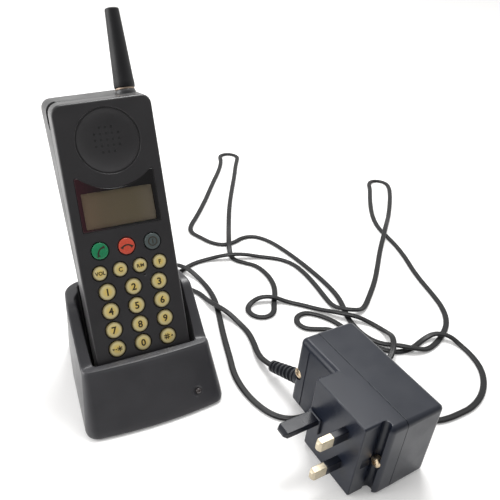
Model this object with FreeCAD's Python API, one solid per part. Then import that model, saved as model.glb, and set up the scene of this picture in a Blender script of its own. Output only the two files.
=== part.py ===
import FreeCAD, Part
import math
import os

# A portable telephone handset standing in its desk charging cradle, with the plug-in mains
# adapter that feeds the cradle through a thin flat twin cord lying on the table.
# Millimetres, +Z up, X to the handset's right, Y to the back, the table at Z = 0.

Vec = FreeCAD.Vector

# ---------------------------------------------------------------- driving dimensions
LEAN = 26.0                      # the handset leans back by this angle, in degrees
HANDSET_AT = (0.0, -44.3, 15.3)  # lower front edge of the handset, on the symmetry plane
WIDTH = 55.0                     # handset
HEIGHT = 159.0
TOP_RISE = 7.5                   # the top end climbs this much from front to back
TOP_TILT = 1.8                   # and this much from the left side to the aerial's side
THICK = 29.5
SLIM = 12.5                      # thickness of the lower half without its battery
SLIM_TO = 62.0                   # height at which the back starts to swell
CORNER = 5.5
WALL = 2.0
FACE_WALL = 2.4
SPLIT = 9.0                      # depth of the joint between front cover and back shell
CLEAR = 0.3                      # gap between pieces that move on each other

KEY_PROUD = 0.9
ROW_1 = 57.0                     # height of the row of keys 1, 2, 3
ROW_STEP = 10.85
COLUMN = 14.9
DIGIT_R = 4.5
FUNCTION_R = 3.9
FUNCTION_ROW = ROW_1 + 10.95
FUNCTION_X = (-17.1, -5.7, 5.7, 17.1)
CALL_ROW = ROW_1 + 23.0
CALL_R = 4.5

EAR_Z = 138.2                    # centre of the earpiece dish
EAR_R = 18.0
EAR_DEPTH = 1.1
EAR_HOLE_R = 0.8
EAR_PITCH = 3.3
EAR_ROWS = (3, 5, 5, 5, 3)

LENS_X = 22.0
LENS_LOW = 90.9
LENS_HIGH = 120.2
LENS_DIP = 112.6
WINDOW_X = 20.0
WINDOW_LOW = 92.0
WINDOW_HIGH = 111.6

BATTERY_X = 24.3
BATTERY_LOW = 9.5
BATTERY_TOP = 112.0
BATTERY_BACK = 25.0
CELL_LONG = 50.0

MAST_X = 18.0
MAST_Y = 15.0
MAST_Z = 162.0
MAST_LONG = 43.4
MAST_R = 5.9
MAST_TIP_R = 3.95

FRONT_AT = -64.5                 # cradle: its front face carried down to the table
FRONT_LEAN = 31.5
BOW_R = 290.0                    # radius of the front's gentle bow at the lamp's height
RIM_Z = 33.3
RIM_SLOPE_AT = -37.0             # where the side rims start to climb
RIM_SHOULDER = (-13.5, 58.0)     # the corner where they turn level, as depth and height
RIM_BACK_Z = 57.0                # height of the rim behind the handset
HEEL_BACK = 28.0                 # the rear wall's foot
CRADLE_WALL = 2.4
POCKET_X = 30.6
POCKET_FRONT = -2.7
POCKET_BACK = 26.4
FLOOR_GAP = 0.35

ADAPTER_AT = (68.85, -134.3, 2.003)  # foot of the line and neutral pins' midpoint, before the tilt
ADAPTER_TURN = -85.5
ADAPTER_TILT = 2.75               # its left end lies on the cord, its right end on the table
TILT_ABOUT = (15.0, 0.0, -2.0)
CASE = (-57.2, 18.0)              # the adapter's ends, along its length
CASE_FRONT = 11.0
CASE_SEAM = 22.0
CASE_BACK = 47.5
CASE_LOW = -2.0                   # the side that it lies on
CASE_HIGH = 46.2
BLOCK = (-27.4, 11.7)
PIN_Z = 23.45
PIN_SPACING = 22.2
EARTH_X = -22.2

CORD_D = 2.6                     # a flat twin cord, drawn as a round one of the same area
CORD_Z = CORD_D / 2
OVER = CORD_Z + CORD_D + 0.8     # height of its middle where it passes over itself
OVER_TWO = OVER + 1.8            # and over a stretch that is itself climbing down
GLAND_AT = (2.0, 28.0, 6.5)
GLAND_LONG = 9.0


# ---------------------------------------------------------------- small helpers
def box(x0, x1, y0, y1, z0, z1):
    return Part.makeBox(x1 - x0, y1 - y0, z1 - z0, Vec(x0, y0, z0))


def rod(radius, start, end):
    start, end = Vec(*start), Vec(*end)
    return Part.makeCylinder(radius, (end - start).Length, start, end - start)


def outline(points, radii):
    """A closed wire through the points, each corner rounded by its own radius."""
    points = [Vec(*p) for p in points]
    spans = []
    for i, point in enumerate(points):
        back = (points[i - 1] - point).normalize()
        ahead = (points[(i + 1) % len(points)] - point).normalize()
        radius = radii[i]
        if radius == 0:
            spans.append((point, None, point))
            continue
        half = (math.pi - back.getAngle(ahead)) / 2
        reach = radius * math.tan(half)
        inward = (back + ahead).normalize()
        middle = point + inward * (radius / math.cos(half) - radius)
        spans.append((point + back * reach, middle, point + ahead * reach))
    edges = []
    for i, (start, middle, end) in enumerate(spans):
        if middle is not None:
            edges.append(Part.Arc(start, middle, end).toShape())
        following = spans[(i + 1) % len(spans)][0]
        if (following - end).Length > 1e-6:
            edges.append(Part.LineSegment(end, following).toShape())
    return Part.Wire(edges)


def prism(points, radii, along):
    return Part.Face(outline(points, radii)).extrude(Vec(*along))


def rounded_box(x0, x1, y0, y1, z0, z1, radius):
    """A box whose four upright edges are rounded."""
    corners = [(x0, y0, z0), (x1, y0, z0), (x1, y1, z0), (x0, y1, z0)]
    return prism(corners, [radius] * 4, (0, 0, z1 - z0))


def panel(x0, x1, z0, z1, y0, y1, radius):
    """A box seen from the front with rounded corners, y0 to y1 deep."""
    corners = [(x0, y0, z0), (x1, y0, z0), (x1, y0, z1), (x0, y0, z1)]
    return prism(corners, [radius] * 4, (0, y1 - y0, 0))


def spun(profile, at, axis):
    """The solid that a closed profile of (radius, height) points sweeps about an axis."""
    face = Part.Face(Part.makePolygon([Vec(r, 0, h) for r, h in profile + profile[:1]]))
    solid = face.revolve(Vec(0, 0, 0), Vec(0, 0, 1), 360)
    solid.Placement = FreeCAD.Placement(Vec(*at), FreeCAD.Rotation(Vec(0, 0, 1), Vec(*axis)))
    return solid


def lofted(sections):
    return Part.makeLoft(sections, True, True)


LEANING = FreeCAD.Placement(Vec(*HANDSET_AT), FreeCAD.Rotation(Vec(1, 0, 0), -LEAN))
TILTED = FreeCAD.Placement(
    Vec(0, 0, 0), FreeCAD.Rotation(Vec(0, 1, 0), ADAPTER_TILT), Vec(*TILT_ABOUT))
LYING = FreeCAD.Placement(
    Vec(*ADAPTER_AT), FreeCAD.Rotation(Vec(0, 0, 1), ADAPTER_TURN)).multiply(TILTED)


def placed(shape, placement):
    moved = shape.copy()
    moved.Placement = placement.multiply(moved.Placement)
    return moved


# ---------------------------------------------------------------- handset, drawn upright
# Its own axes: x across, y from the front face to the back, z up from the lower end.
def swell(z):
    """Thickness of the body at a height: slim below, then growing to the full thickness."""
    return SLIM + max(0.0, z - SLIM_TO) * (THICK - SLIM) / (HEIGHT - SLIM_TO)


def handset_block(inset):
    """The closed outer form, or the hollow inside it when inset is the wall's thickness."""
    half = WIDTH / 2 - inset
    radius = max(CORNER - inset, 1.5)
    ends = []
    for y, top in ((0.0, HEIGHT), (THICK, HEIGHT + TOP_RISE)):
        low, high = inset, top - inset
        corners = [(-half, y, low), (half, y, low), (half, y, high + TOP_TILT), (-half, y, high)]
        ends.append(outline(corners, [radius] * 4))
    body = lofted(ends)
    face = inset * FACE_WALL / WALL
    side = [
        (-40, face, -5),
        (-40, face, 180),
        (-40, THICK - inset, 180),
        (-40, THICK - inset, HEIGHT),
        (-40, SLIM - inset, SLIM_TO),
        (-40, SLIM - inset, -5),
    ]
    return body.common(prism(side, [0, 0, 0, 40, 90, 0], (80, 0, 0)))


def lens_outline(grow, y):
    """The display lens seen from the front: square below, a hollow arc above."""
    x, low, high = LENS_X + grow, LENS_LOW - grow, LENS_HIGH + grow
    dip = LENS_DIP + grow
    flat = 1.6
    edges = [
        Part.LineSegment(Vec(-x, y, high), Vec(-x, y, low)),
        Part.LineSegment(Vec(-x, y, low), Vec(x, y, low)),
        Part.LineSegment(Vec(x, y, low), Vec(x, y, high)),
        Part.LineSegment(Vec(x, y, high), Vec(x - flat, y, high)),
        Part.Arc(Vec(x - flat, y, high), Vec(0, y, dip), Vec(flat - x, y, high)),
        Part.LineSegment(Vec(flat - x, y, high), Vec(-x, y, high)),
    ]
    return Part.Wire([edge.toShape() for edge in edges])


def key_places():
    """Name, x, height and radius of every key."""
    places = {}
    for row in range(3):
        for column in range(3):
            name = "key_%d" % (3 * row + column + 1)
            places[name] = ((column - 1) * COLUMN, ROW_1 - row * ROW_STEP, DIGIT_R)
    last = ROW_1 - 3 * ROW_STEP
    places["key_star"] = (-COLUMN, last, DIGIT_R)
    places["key_0"] = (0.0, last, DIGIT_R)
    places["key_hash"] = (COLUMN, last, DIGIT_R)
    for name, x in zip(("volume", "clear", "recall", "function"), FUNCTION_X):
        places["key_" + name] = (x, FUNCTION_ROW, FUNCTION_R)
    for name, x in (("send", -COLUMN), ("end", 0.0), ("power", COLUMN)):
        places["key_" + name] = (x, CALL_ROW, CALL_R)
    return places


def ear_holes():
    holes = []
    for row, count in enumerate(EAR_ROWS):
        z = EAR_Z + 0.6 + (2 - row) * EAR_PITCH
        for i in range(count):
            holes.append(((i - (count - 1) / 2) * EAR_PITCH, z))
    return holes


def strap_slot():
    """A slot round the upper left corner, between the two shells, for a wrist strap."""
    left, top = -WIDTH / 2, HEIGHT + 2.0
    width, deep, down, across = 4.0, 3.2, 15.0, 15.0
    upright = box(left - 1, left + deep, SPLIT, SPLIT + width, top - down, top - CORNER)
    level = box(left + CORNER, left + across, SPLIT, SPLIT + width, top - deep, top + 4)
    bend = box(left - 1, left + CORNER, SPLIT, SPLIT + width, top - CORNER, top + 4)
    core = rod(CORNER - 1.2, (left + CORNER, SPLIT - 1, top - CORNER),
               (left + CORNER, SPLIT + width + 1, top - CORNER))
    return upright.fuse([level, bend.cut(core)]).removeSplitter()


def front_cover(outer, hollow):
    body = outer.common(box(-40, 40, -5, SPLIT, -5, 180)).cut(hollow)
    ball = (EAR_R ** 2 + EAR_DEPTH ** 2) / (2 * EAR_DEPTH)
    cuts = [Part.makeSphere(ball, Vec(0, EAR_DEPTH - ball, EAR_Z))]
    cuts += [rod(EAR_HOLE_R, (x, -1, z), (x, 4, z)) for x, z in ear_holes()]
    cuts.append(Part.Face(lens_outline(0.15, -1.0)).extrude(Vec(0, 2.4, 0)))
    cuts.append(box(-WINDOW_X, WINDOW_X, -1, 4, WINDOW_LOW, WINDOW_HIGH))
    for x, z, radius in key_places().values():
        cuts.append(rod(radius + CLEAR, (x, -1, z), (x, 4, z)))
        cuts.append(rod(radius + 1.0, (x, -1, z), (x, 0.4, z)))
    return body.cut(cuts)


def back_shell(outer, hollow):
    body = outer.common(box(-40, 40, SPLIT, 40, -5, 180)).cut(hollow)
    body = body.cut(strap_slot())
    mast = rod(3.1, (MAST_X, MAST_Y, 150), (MAST_X, MAST_Y, 180))
    return body.cut(mast)


def key(x, z, radius):
    """A domed round key on a stem, with a flange that keeps it behind the front wall."""
    dome, flange, stem = 0.5, 0.8, FACE_WALL + CLEAR
    profile = [(0, stem + 0.8), (0, -KEY_PROUD)]
    steps = 4
    for i in range(1, steps + 1):
        r = radius * i / steps
        profile.append((r, -KEY_PROUD + dome * (i / steps) ** 2))
    profile += [(radius, stem), (radius + flange, stem), (radius + flange, stem + 0.8)]
    return spun(profile, (x, 0, z), (0, 1, 0))


def battery(inset, top=BATTERY_TOP):
    """The pack that clips on the back: its front follows the body, its back is flat."""
    half = BATTERY_X - inset
    low, high = BATTERY_LOW + inset, top
    gap = CLEAR + inset
    side = [
        (-half, swell(0) + gap, low),
        (-half, swell(0) + gap, SLIM_TO),
        (-half, swell(high) + gap, high),
        (-half, BATTERY_BACK - inset, high),
        (-half, BATTERY_BACK - inset, low),
    ]
    radius = max(3.0 - inset, 1.0)
    return prism(side, [0, 80, 0, min(radius, 1.6), radius], (2 * half, 0, 0))


LATCH_X = 8.0
LATCH_LOW = 104.6
LATCH_TRAVEL = 2.0


def battery_latch():
    """A thumb slide let into the top of the pack's back, with a ridge for the thumb."""
    slab = box(-LATCH_X, LATCH_X, BATTERY_BACK - 2.1, BATTERY_BACK, LATCH_LOW, BATTERY_TOP + 0.6)
    ridge = box(-6, 6, BATTERY_BACK, BATTERY_BACK + 0.8, LATCH_LOW + 1.5, LATCH_LOW + 4)
    return slab.fuse(ridge).removeSplitter()


def battery_case():
    """The pack's case, with a tray for the latch."""
    floor = LATCH_LOW - LATCH_TRAVEL - CLEAR
    tray = box(-LATCH_X - 2, LATCH_X + 2, BATTERY_BACK - 4, BATTERY_BACK, floor - 1.6, BATTERY_TOP)
    side = LATCH_X + CLEAR
    space = box(-side, side, BATTERY_BACK - 2.4, BATTERY_BACK + 5, floor, BATTERY_TOP + 5)
    case = battery(0).cut(battery(1.6, floor - 3)).fuse(tray.common(battery(0)))
    return case.cut(space).removeSplitter()


def cells():
    low = BATTERY_LOW + 2.5
    return [rounded_box(x - 7, x + 7, 15.3, 23.0, low, low + CELL_LONG, 2) for x in (-15, 0, 15)]


def mast():
    """The rubber sheath of the short aerial, tapering to a flat tip with a softened edge."""
    profile = [(0, 0), (MAST_R - 0.4, 0), (MAST_R, 0.5), (MAST_R - 0.1, 4.0)]
    profile += [(MAST_TIP_R + 0.05, MAST_LONG - 0.9), (MAST_TIP_R - 0.25, MAST_LONG - 0.25)]
    profile += [(MAST_TIP_R - 0.9, MAST_LONG), (0, MAST_LONG)]
    return spun(profile, (MAST_X, MAST_Y, MAST_Z + 4.4), (0, 0, 1))


def case_screws():
    """Four screws driven from the back of the handset into the front cover."""
    screws = []
    for x, z in ((-22, 7.5), (22, 7.5), (-22, 152), (22, 152)):
        head = swell(z) - 0.2
        screws.append(rod(1.1, (x, 4, z), (x, head, z)).fuse(rod(2.1, (x, head - 1.4, z), (x, head, z))))
    return screws


def handset_pieces():
    outer, hollow = handset_block(0), handset_block(WALL)
    front, back = front_cover(outer, hollow), back_shell(outer, hollow)
    posts, wells = [], []
    for screw, (x, z) in zip(case_screws(), ((-22, 7.5), (22, 7.5), (-22, 152), (22, 152))):
        posts.append(rod(3.0, (x, 1.5, z), (x, SPLIT, z)).cut(screw))
        wells.append((rod(3.0, (x, SPLIT, z), (x, swell(z) - 1.0, z)), screw))
    front = front.fuse(posts).cut([screw for _, screw in wells]).removeSplitter()
    back = back.fuse([well for well, _ in wells])
    back = back.cut([screw for _, screw in wells]).removeSplitter()
    pieces = {
        "front_cover": front,
        "back_shell": back,
        "display_lens": Part.Face(lens_outline(0, 0.1)).extrude(Vec(0, 1.2, 0)),
        "display_module": box(-23, 23, 2.5, 5.8, 90, 119),
        "earpiece_speaker": rod(13, (0, 2.5, EAR_Z), (0, 6.0, EAR_Z)),
        "microphone": rod(3.4, (0, 2.5, 9), (0, 6.0, 9)),
        "keypad_mat": panel(-24.6, 24.6, 17, 88, 4.7, 5.9, 3),
        "main_board": panel(-24.8, 24.8, 14, 147, 6.0, 7.6, 2),
        "charge_pads": Part.makeCompound([box(x - 2, x + 2, 4.0, 8.0, 0.0, WALL) for x in (-7, 7)]),
        "aerial_nut": rod(6.1, (MAST_X, MAST_Y, MAST_Z - 4), (MAST_X, MAST_Y, MAST_Z + 3)).cut(
            outer).fuse(rod(3.0, (MAST_X, MAST_Y, 156), (MAST_X, MAST_Y, MAST_Z + 3))),
        "aerial_ring": rod(5.6, (MAST_X, MAST_Y, MAST_Z + 3), (MAST_X, MAST_Y, MAST_Z + 4.4)).cut(
            outer),
        "aerial_mast": mast(),
        "case_screws": Part.makeCompound(case_screws()),
        "battery_case": battery_case(),
        "battery_cells": Part.makeCompound(cells()),
        "battery_latch": battery_latch(),
    }
    for x in (-7, 7):
        pieces["front_cover"] = pieces["front_cover"].cut(box(x - 2, x + 2, 4.0, 8.0, -1, 3))
    for name, (x, z, radius) in key_places().items():
        pieces[name] = key(x, z, radius)
    return {name: placed(shape, LEANING) for name, shape in pieces.items()}


# ---------------------------------------------------------------- cradle
# Each level: height, half width at the front corner, the front's bow, half widths along the
# side and at the rear, the depths of the side's turn and of the rear, the radii of the front
# and rear corners, and how far the bottom edge is tucked in.
LEVELS = (
    (0.8, 39.8, 5.0, 34.6, 29.1, -9.0, HEEL_BACK, 6.0, 8.0, 1.4),
    (3.2, 41.2, 5.15, 36.0, 30.5, -9.0, HEEL_BACK, 6.5, 8.0, 0.0),
    (RIM_Z, 37.0, 2.5, 36.6, 31.5, -14.0, 18.0, 3.8, 11.0, 0.0),
    (63.0, 36.8, 1.5, 36.5, 33.0, -12.0, 8.0, 3.8, 12.0, 0.0),
)


def front_y(x, z):
    """Depth of the front face: it leans back and is bowed."""
    return FRONT_AT + z * math.tan(math.radians(FRONT_LEAN)) + x * x / (2 * BOW_R)


def cradle_section(level, inset):
    z, front_half, bow, side_half, rear_half, side_at, rear, corner, rear_corner, tuck = level
    front_half, side_half, rear_half = [h - inset for h in (front_half, side_half, rear_half)]
    slope = bow / front_half
    bow_radius = 0.8 * front_half / slope
    apex = front_y(0, z) + tuck + inset - bow_radius * (math.sqrt(1 + slope ** 2) - 1)
    rear -= tuck + inset
    points = [
        (0, apex, z),
        (front_half, apex + bow, z),
        (side_half, side_at, z),
        (rear_half, rear, z),
        (-rear_half, rear, z),
        (-side_half, side_at, z),
        (-front_half, apex + bow, z),
    ]
    corner = max(corner - inset, 1.5)
    rear_corner -= inset
    return outline(points, [bow_radius, corner, 30, rear_corner, rear_corner, 30, corner])


def cradle_form(inset):
    """The outer form of the cradle, or what is left inside its wall."""
    levels = list(LEVELS)
    if inset:
        levels[0] = (-2.0,) + LEVELS[0][1:]
    body = lofted([cradle_section(level, inset) for level in levels])
    drop = inset * 1.35
    sky = [
        (-60, -120, RIM_Z - inset),
        (-60, RIM_SLOPE_AT, RIM_Z - inset),
        (-60, RIM_SHOULDER[0], RIM_SHOULDER[1] - drop),
        (-60, 90, RIM_BACK_Z - drop),
        (-60, 90, 120),
        (-60, -120, 120),
    ]
    return body.cut(prism(sky, [0, 3, 10, 0, 0, 0], (120, 0, 0)))


def pocket(grow):
    """The well that the handset stands in, in the handset's own axes, then leant back."""
    half, deep = POCKET_X + grow, POCKET_BACK + grow
    front, narrow = POCKET_FRONT - grow, 26.6 + grow
    low = -FLOOR_GAP - grow
    plan = [
        (half, front, 8),
        (half, 15, 8),
        (narrow, 20, 8),
        (narrow, deep, 8),
        (-narrow, deep, 8),
        (-narrow, 20, 8),
        (-half, 15, 8),
        (-half, front, 8),
    ]
    corner = 3.2 + grow
    upper = prism(plan, [corner, 8, 6, corner, corner, 6, 8, corner], (0, 0, 90))
    seat = rounded_box(-28 - grow, 28 + grow, -0.6 - grow, 13.4 + grow, low, 12, 0.8 + grow)
    well = rounded_box(-narrow, narrow, 5, deep, 2.0 - grow, 12, corner)
    return placed(upper.fuse([seat, well]), LEANING)


FOOT_PLACES = ((-31, -50), (31, -50), (-20, 17), (20, 17))
SCREW_PLACES = ((-34, -37), (34, -37), (-21, 8), (21, 8))
CONTACT_X = (-7.0, 7.0)
BOARD_Z = 4.8


def contact_pins():
    return [placed(box(x - 1.5, x + 1.5, 4.6, 7.4, -7.2, -0.3), LEANING) for x in CONTACT_X]


def lamp():
    """The charging lamp in the front face, low on the right: its bowl and bore, and its body."""
    x, z = 24.8, 10.8
    lean = math.radians(FRONT_LEAN)
    out = Vec(0, -math.cos(lean), math.sin(lean))
    at = Vec(x, front_y(x, z), z)
    bowl = Part.makeCylinder(3.6, 4, at - out * 0.6, out)
    bore = Part.makeCylinder(1.6, 9, at - out * 6, out)
    stem = Part.makeCylinder(1.6, 5.2, at - out * 5, out)
    dome = Part.makeSphere(1.6, at + out * 0.2)
    return bowl.fuse(bore), stem.fuse(dome).removeSplitter()


def cradle_pieces():
    wall = cradle_form(0)
    hollow = cradle_form(CRADLE_WALL).cut(pocket(2.2))
    bosses = [rod(3.4, (x, y, 3.4), (x, y, 34)).common(cradle_form(1.0)) for x, y in SCREW_PLACES]
    shell = wall.cut(hollow).fuse(bosses).cut(pocket(0))
    lamp_hole, lamp_body = lamp()
    gland = Vec(*GLAND_AT)
    gland_hole = rod(3.4, (gland.x, gland.y - 8, gland.z), (gland.x, gland.y + 5, gland.z))
    screws = []
    for x, y in SCREW_PLACES:
        screws.append(rod(1.3, (x, y, 1.6), (x, y, 13)).fuse(rod(2.7, (x, y, 1.6), (x, y, 2.6))))
    shell = shell.cut([lamp_hole, gland_hole] + contact_pins() + screws).removeSplitter()
    plate = cradle_form(CRADLE_WALL + 0.2).common(box(-60, 60, -90, 60, 1.0, 3.1))
    posts = [rod(2.2, (x, y, 3.0), (x, y, BOARD_Z)) for x in (-15, 15) for y in (-51, -37)]
    feet = [rod(5.0, (x, y, 0.0), (x, y, 1.6)) for x, y in FOOT_PLACES]
    plate = plate.fuse(posts).cut(feet + screws + [pocket(2.5)]).removeSplitter()
    bush = rod(3.4, (gland.x, gland.y - 6, gland.z), (gland.x, gland.y, gland.z))
    profile = [(0, -1.3), (4.6, -1.3), (4.6, 1.4), (3.6, 1.6), (2.3, GLAND_LONG), (0, GLAND_LONG)]
    bush = bush.fuse(spun(profile, tuple(gland), (0, 1, 0))).removeSplitter()
    shell = shell.cut(bush)
    board = rounded_box(-20, 20, -55, -33, BOARD_Z, BOARD_Z + 1.6, 1.5).cut(contact_pins())
    return {
        "cradle_shell": shell,
        "cradle_base": plate,
        "cradle_feet": Part.makeCompound(feet),
        "base_screws": Part.makeCompound(screws),
        "charge_board": board,
        "charge_contacts": Part.makeCompound(contact_pins()),
        "charge_lamp": lamp_body,
        "cord_gland": bush,
    }


# ---------------------------------------------------------------- mains adapter, lying down
# Its own axes: x along its length, y from the pins to the back, z up.
SCREW_X = (CASE[0] + 2.6, CASE[1] - 2.8)
PIN_OUT = 17.7                   # how far the line and neutral pins stand out
EARTH_OUT = 22.7


def adapter_case(inset):
    """Whole outer form of the adapter: pin block, shoulders and the deep back half."""
    x0, x1 = CASE[0] + inset, CASE[1] - inset
    z0, z1 = CASE_LOW + inset, CASE_HIGH - inset
    front = panel(x0, x1, z0, z1, CASE_FRONT + inset, CASE_SEAM, max(3.0 - inset, 1.0))
    rings = []
    for y, draw in ((CASE_SEAM, 0.0), (CASE_BACK - 3.4, 1.0), (CASE_BACK - inset, 4.0)):
        a, b, c, d = x0 + draw, x1 - draw, z0 + draw, z1 - draw
        corner = max(3.0 - inset, 1.0) + draw * 0.4
        rings.append(outline([(a, y, c), (b, y, c), (b, y, d), (a, y, d)], [corner] * 4))
    block = panel(BLOCK[0] + inset, BLOCK[1] - inset, z0, z1, inset, CASE_SEAM, max(2.2 - inset, 0.6))
    return front.fuse([lofted(rings), block]).removeSplitter()


def adapter_front(whole):
    half = whole.common(box(-90, 60, -5, CASE_SEAM, -5, 60))
    half = half.cut(adapter_case(2.2))
    cuts = []
    for x in SCREW_X:
        cuts.append(rod(4.0, (x, CASE_FRONT - 6, PIN_Z), (x, CASE_FRONT + 2.4, PIN_Z)))
    bevel = [(CASE[0] - 1, CASE_FRONT - 1, CASE_HIGH - 1.6), (CASE[0] - 1, CASE_FRONT - 1, 60),
             (CASE[0] - 1, CASE_FRONT + 2.6, 60), (CASE[0] - 1, CASE_FRONT + 2.6, CASE_HIGH)]
    cuts.append(prism(bevel, [0] * 4, (BLOCK[0] - CASE[0] + 1, 0, 0)))
    half = half.cut(cuts)
    bosses = [rod(3.2, (x, CASE_FRONT + 3.4, PIN_Z), (x, 30, PIN_Z)) for x in (-52.5, 13.2)]
    return half, bosses


def pin(x, z, wide, high, out, chamfer):
    """A flat blade that stands out of the block, its tip drawn in."""
    base = outline([(x - wide / 2, 8, z - high / 2), (x + wide / 2, 8, z - high / 2),
                    (x + wide / 2, 8, z + high / 2), (x - wide / 2, 8, z + high / 2)], [0.4] * 4)
    shank = Part.Face(base).extrude(Vec(0, -8 - out + chamfer, 0))
    rings = []
    for y, draw in ((-out + chamfer, 0.0), (-out, chamfer * 0.45)):
        a, b = x - wide / 2 + draw, x + wide / 2 - draw
        c, d = z - high / 2 + draw, z + high / 2 - draw
        rings.append(outline([(a, y, c), (b, y, c), (b, y, d), (a, y, d)], [0.4] * 4))
    return shank.fuse(lofted(rings)).removeSplitter()


def sleeve(z):
    """The insulation round the inner length of a current-carrying pin."""
    outer = panel(-2.0, 2.0, z - 3.175, z + 3.175, -9.0, 0.0, 0.5)
    return outer.cut(panel(-1.6, 1.6, z - 2.775, z + 2.775, -10, 1, 0.3))


def live_pin(z):
    core = panel(-1.6, 1.6, z - 2.775, z + 2.775, -9.0, 8.0, 0.3)
    return core.fuse(pin(0, z, 4.0, 6.35, PIN_OUT, 1.6).common(box(-9, 9, -30, -9, -5, 60)))


def transformer():
    """A laminated core with its winding round the middle leg."""
    core = box(-40, 2, 14, 43, 8, 38)
    slots = [box(-33, -24, 10, 50, 15, 31), box(-14, -5, 10, 50, 15, 31)]
    winding = box(-32.5, -5.5, 13.8, 44.5, 15.5, 30.5).cut(box(-24, -14, 5, 50, 15, 31))
    keep = box(-24, -14, 14, 43, 8, 38)
    return core.cut(slots), winding.cut(keep)


RELIEF_ROOT = (-57.2, 17.0, 12.0)
RELIEF_TIP = (-81.8, 14.2, 0.8)


def strain_relief():
    """Ribbed rubber boot: a tapered core with six rings."""
    root, tip = Vec(*RELIEF_ROOT), Vec(*RELIEF_TIP)
    along = tip - root
    way = Vec(along).normalize()
    core = Part.makeCone(3.4, 2.6, along.Length, root, way)
    rings = [Part.makeCylinder(4.6, 3.6, root, way)]
    for i in range(6):
        share = 0.24 + 0.145 * i
        radius = 4.3 - 0.9 * share
        rings.append(Part.makeCylinder(radius, 2.2, root + along * (share - 0.035), way))
    stub = Part.makeCylinder(3.0, 5.0, root - way * 5.0, way)
    cord_hole = Part.makeCylinder(CORD_D / 2, 4.0, tip - way * 3.0, way)
    return core.fuse(rings + [stub]).removeSplitter().cut(cord_hole), stub


def adapter_pieces():
    whole = adapter_case(0)
    front, bosses = adapter_front(whole)
    back = whole.common(box(-90, 60, CASE_SEAM, 60, -5, 60)).cut(adapter_case(2.2))
    boot, stub = strain_relief()
    pins = {
        "live_pin": live_pin(PIN_Z - PIN_SPACING / 2),
        "neutral_pin": live_pin(PIN_Z + PIN_SPACING / 2),
        "earth_pin": pin(EARTH_X, PIN_Z, 8.0, 4.0, EARTH_OUT, 2.2),
    }
    screws = []
    for x in SCREW_X:
        shank = rod(1.5, (x, CASE_FRONT + 2.4, PIN_Z), (x, CASE_FRONT + 8, PIN_Z))
        head = rod(3.0, (x, CASE_FRONT + 0.6, PIN_Z), (x, CASE_FRONT + 2.4, PIN_Z))
        screws.append(head.fuse(shank))
    collar = panel(EARTH_X - 5.2, EARTH_X + 5.2, PIN_Z - 8.6, PIN_Z + 2.4, -1.6, 1.0, 0.8)
    front = front.fuse(collar)
    front = front.cut(list(pins.values()) + screws + [boot, stub]).removeSplitter()
    core, winding = transformer()
    pieces = {
        "adapter_front": front,
        "adapter_back": back,
        "pin_sleeves": Part.makeCompound([sleeve(PIN_Z + s * PIN_SPACING / 2) for s in (-1, 1)]),
        "adapter_screws": Part.makeCompound(screws),
        "transformer_core": core,
        "transformer_winding": winding,
        "rectifier_board": box(-53, -43, 24, 25.6, 8, 38),
        "strain_relief": boot,
    }
    pieces.update(pins)
    return {name: placed(shape, LYING) for name, shape in pieces.items()}


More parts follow.
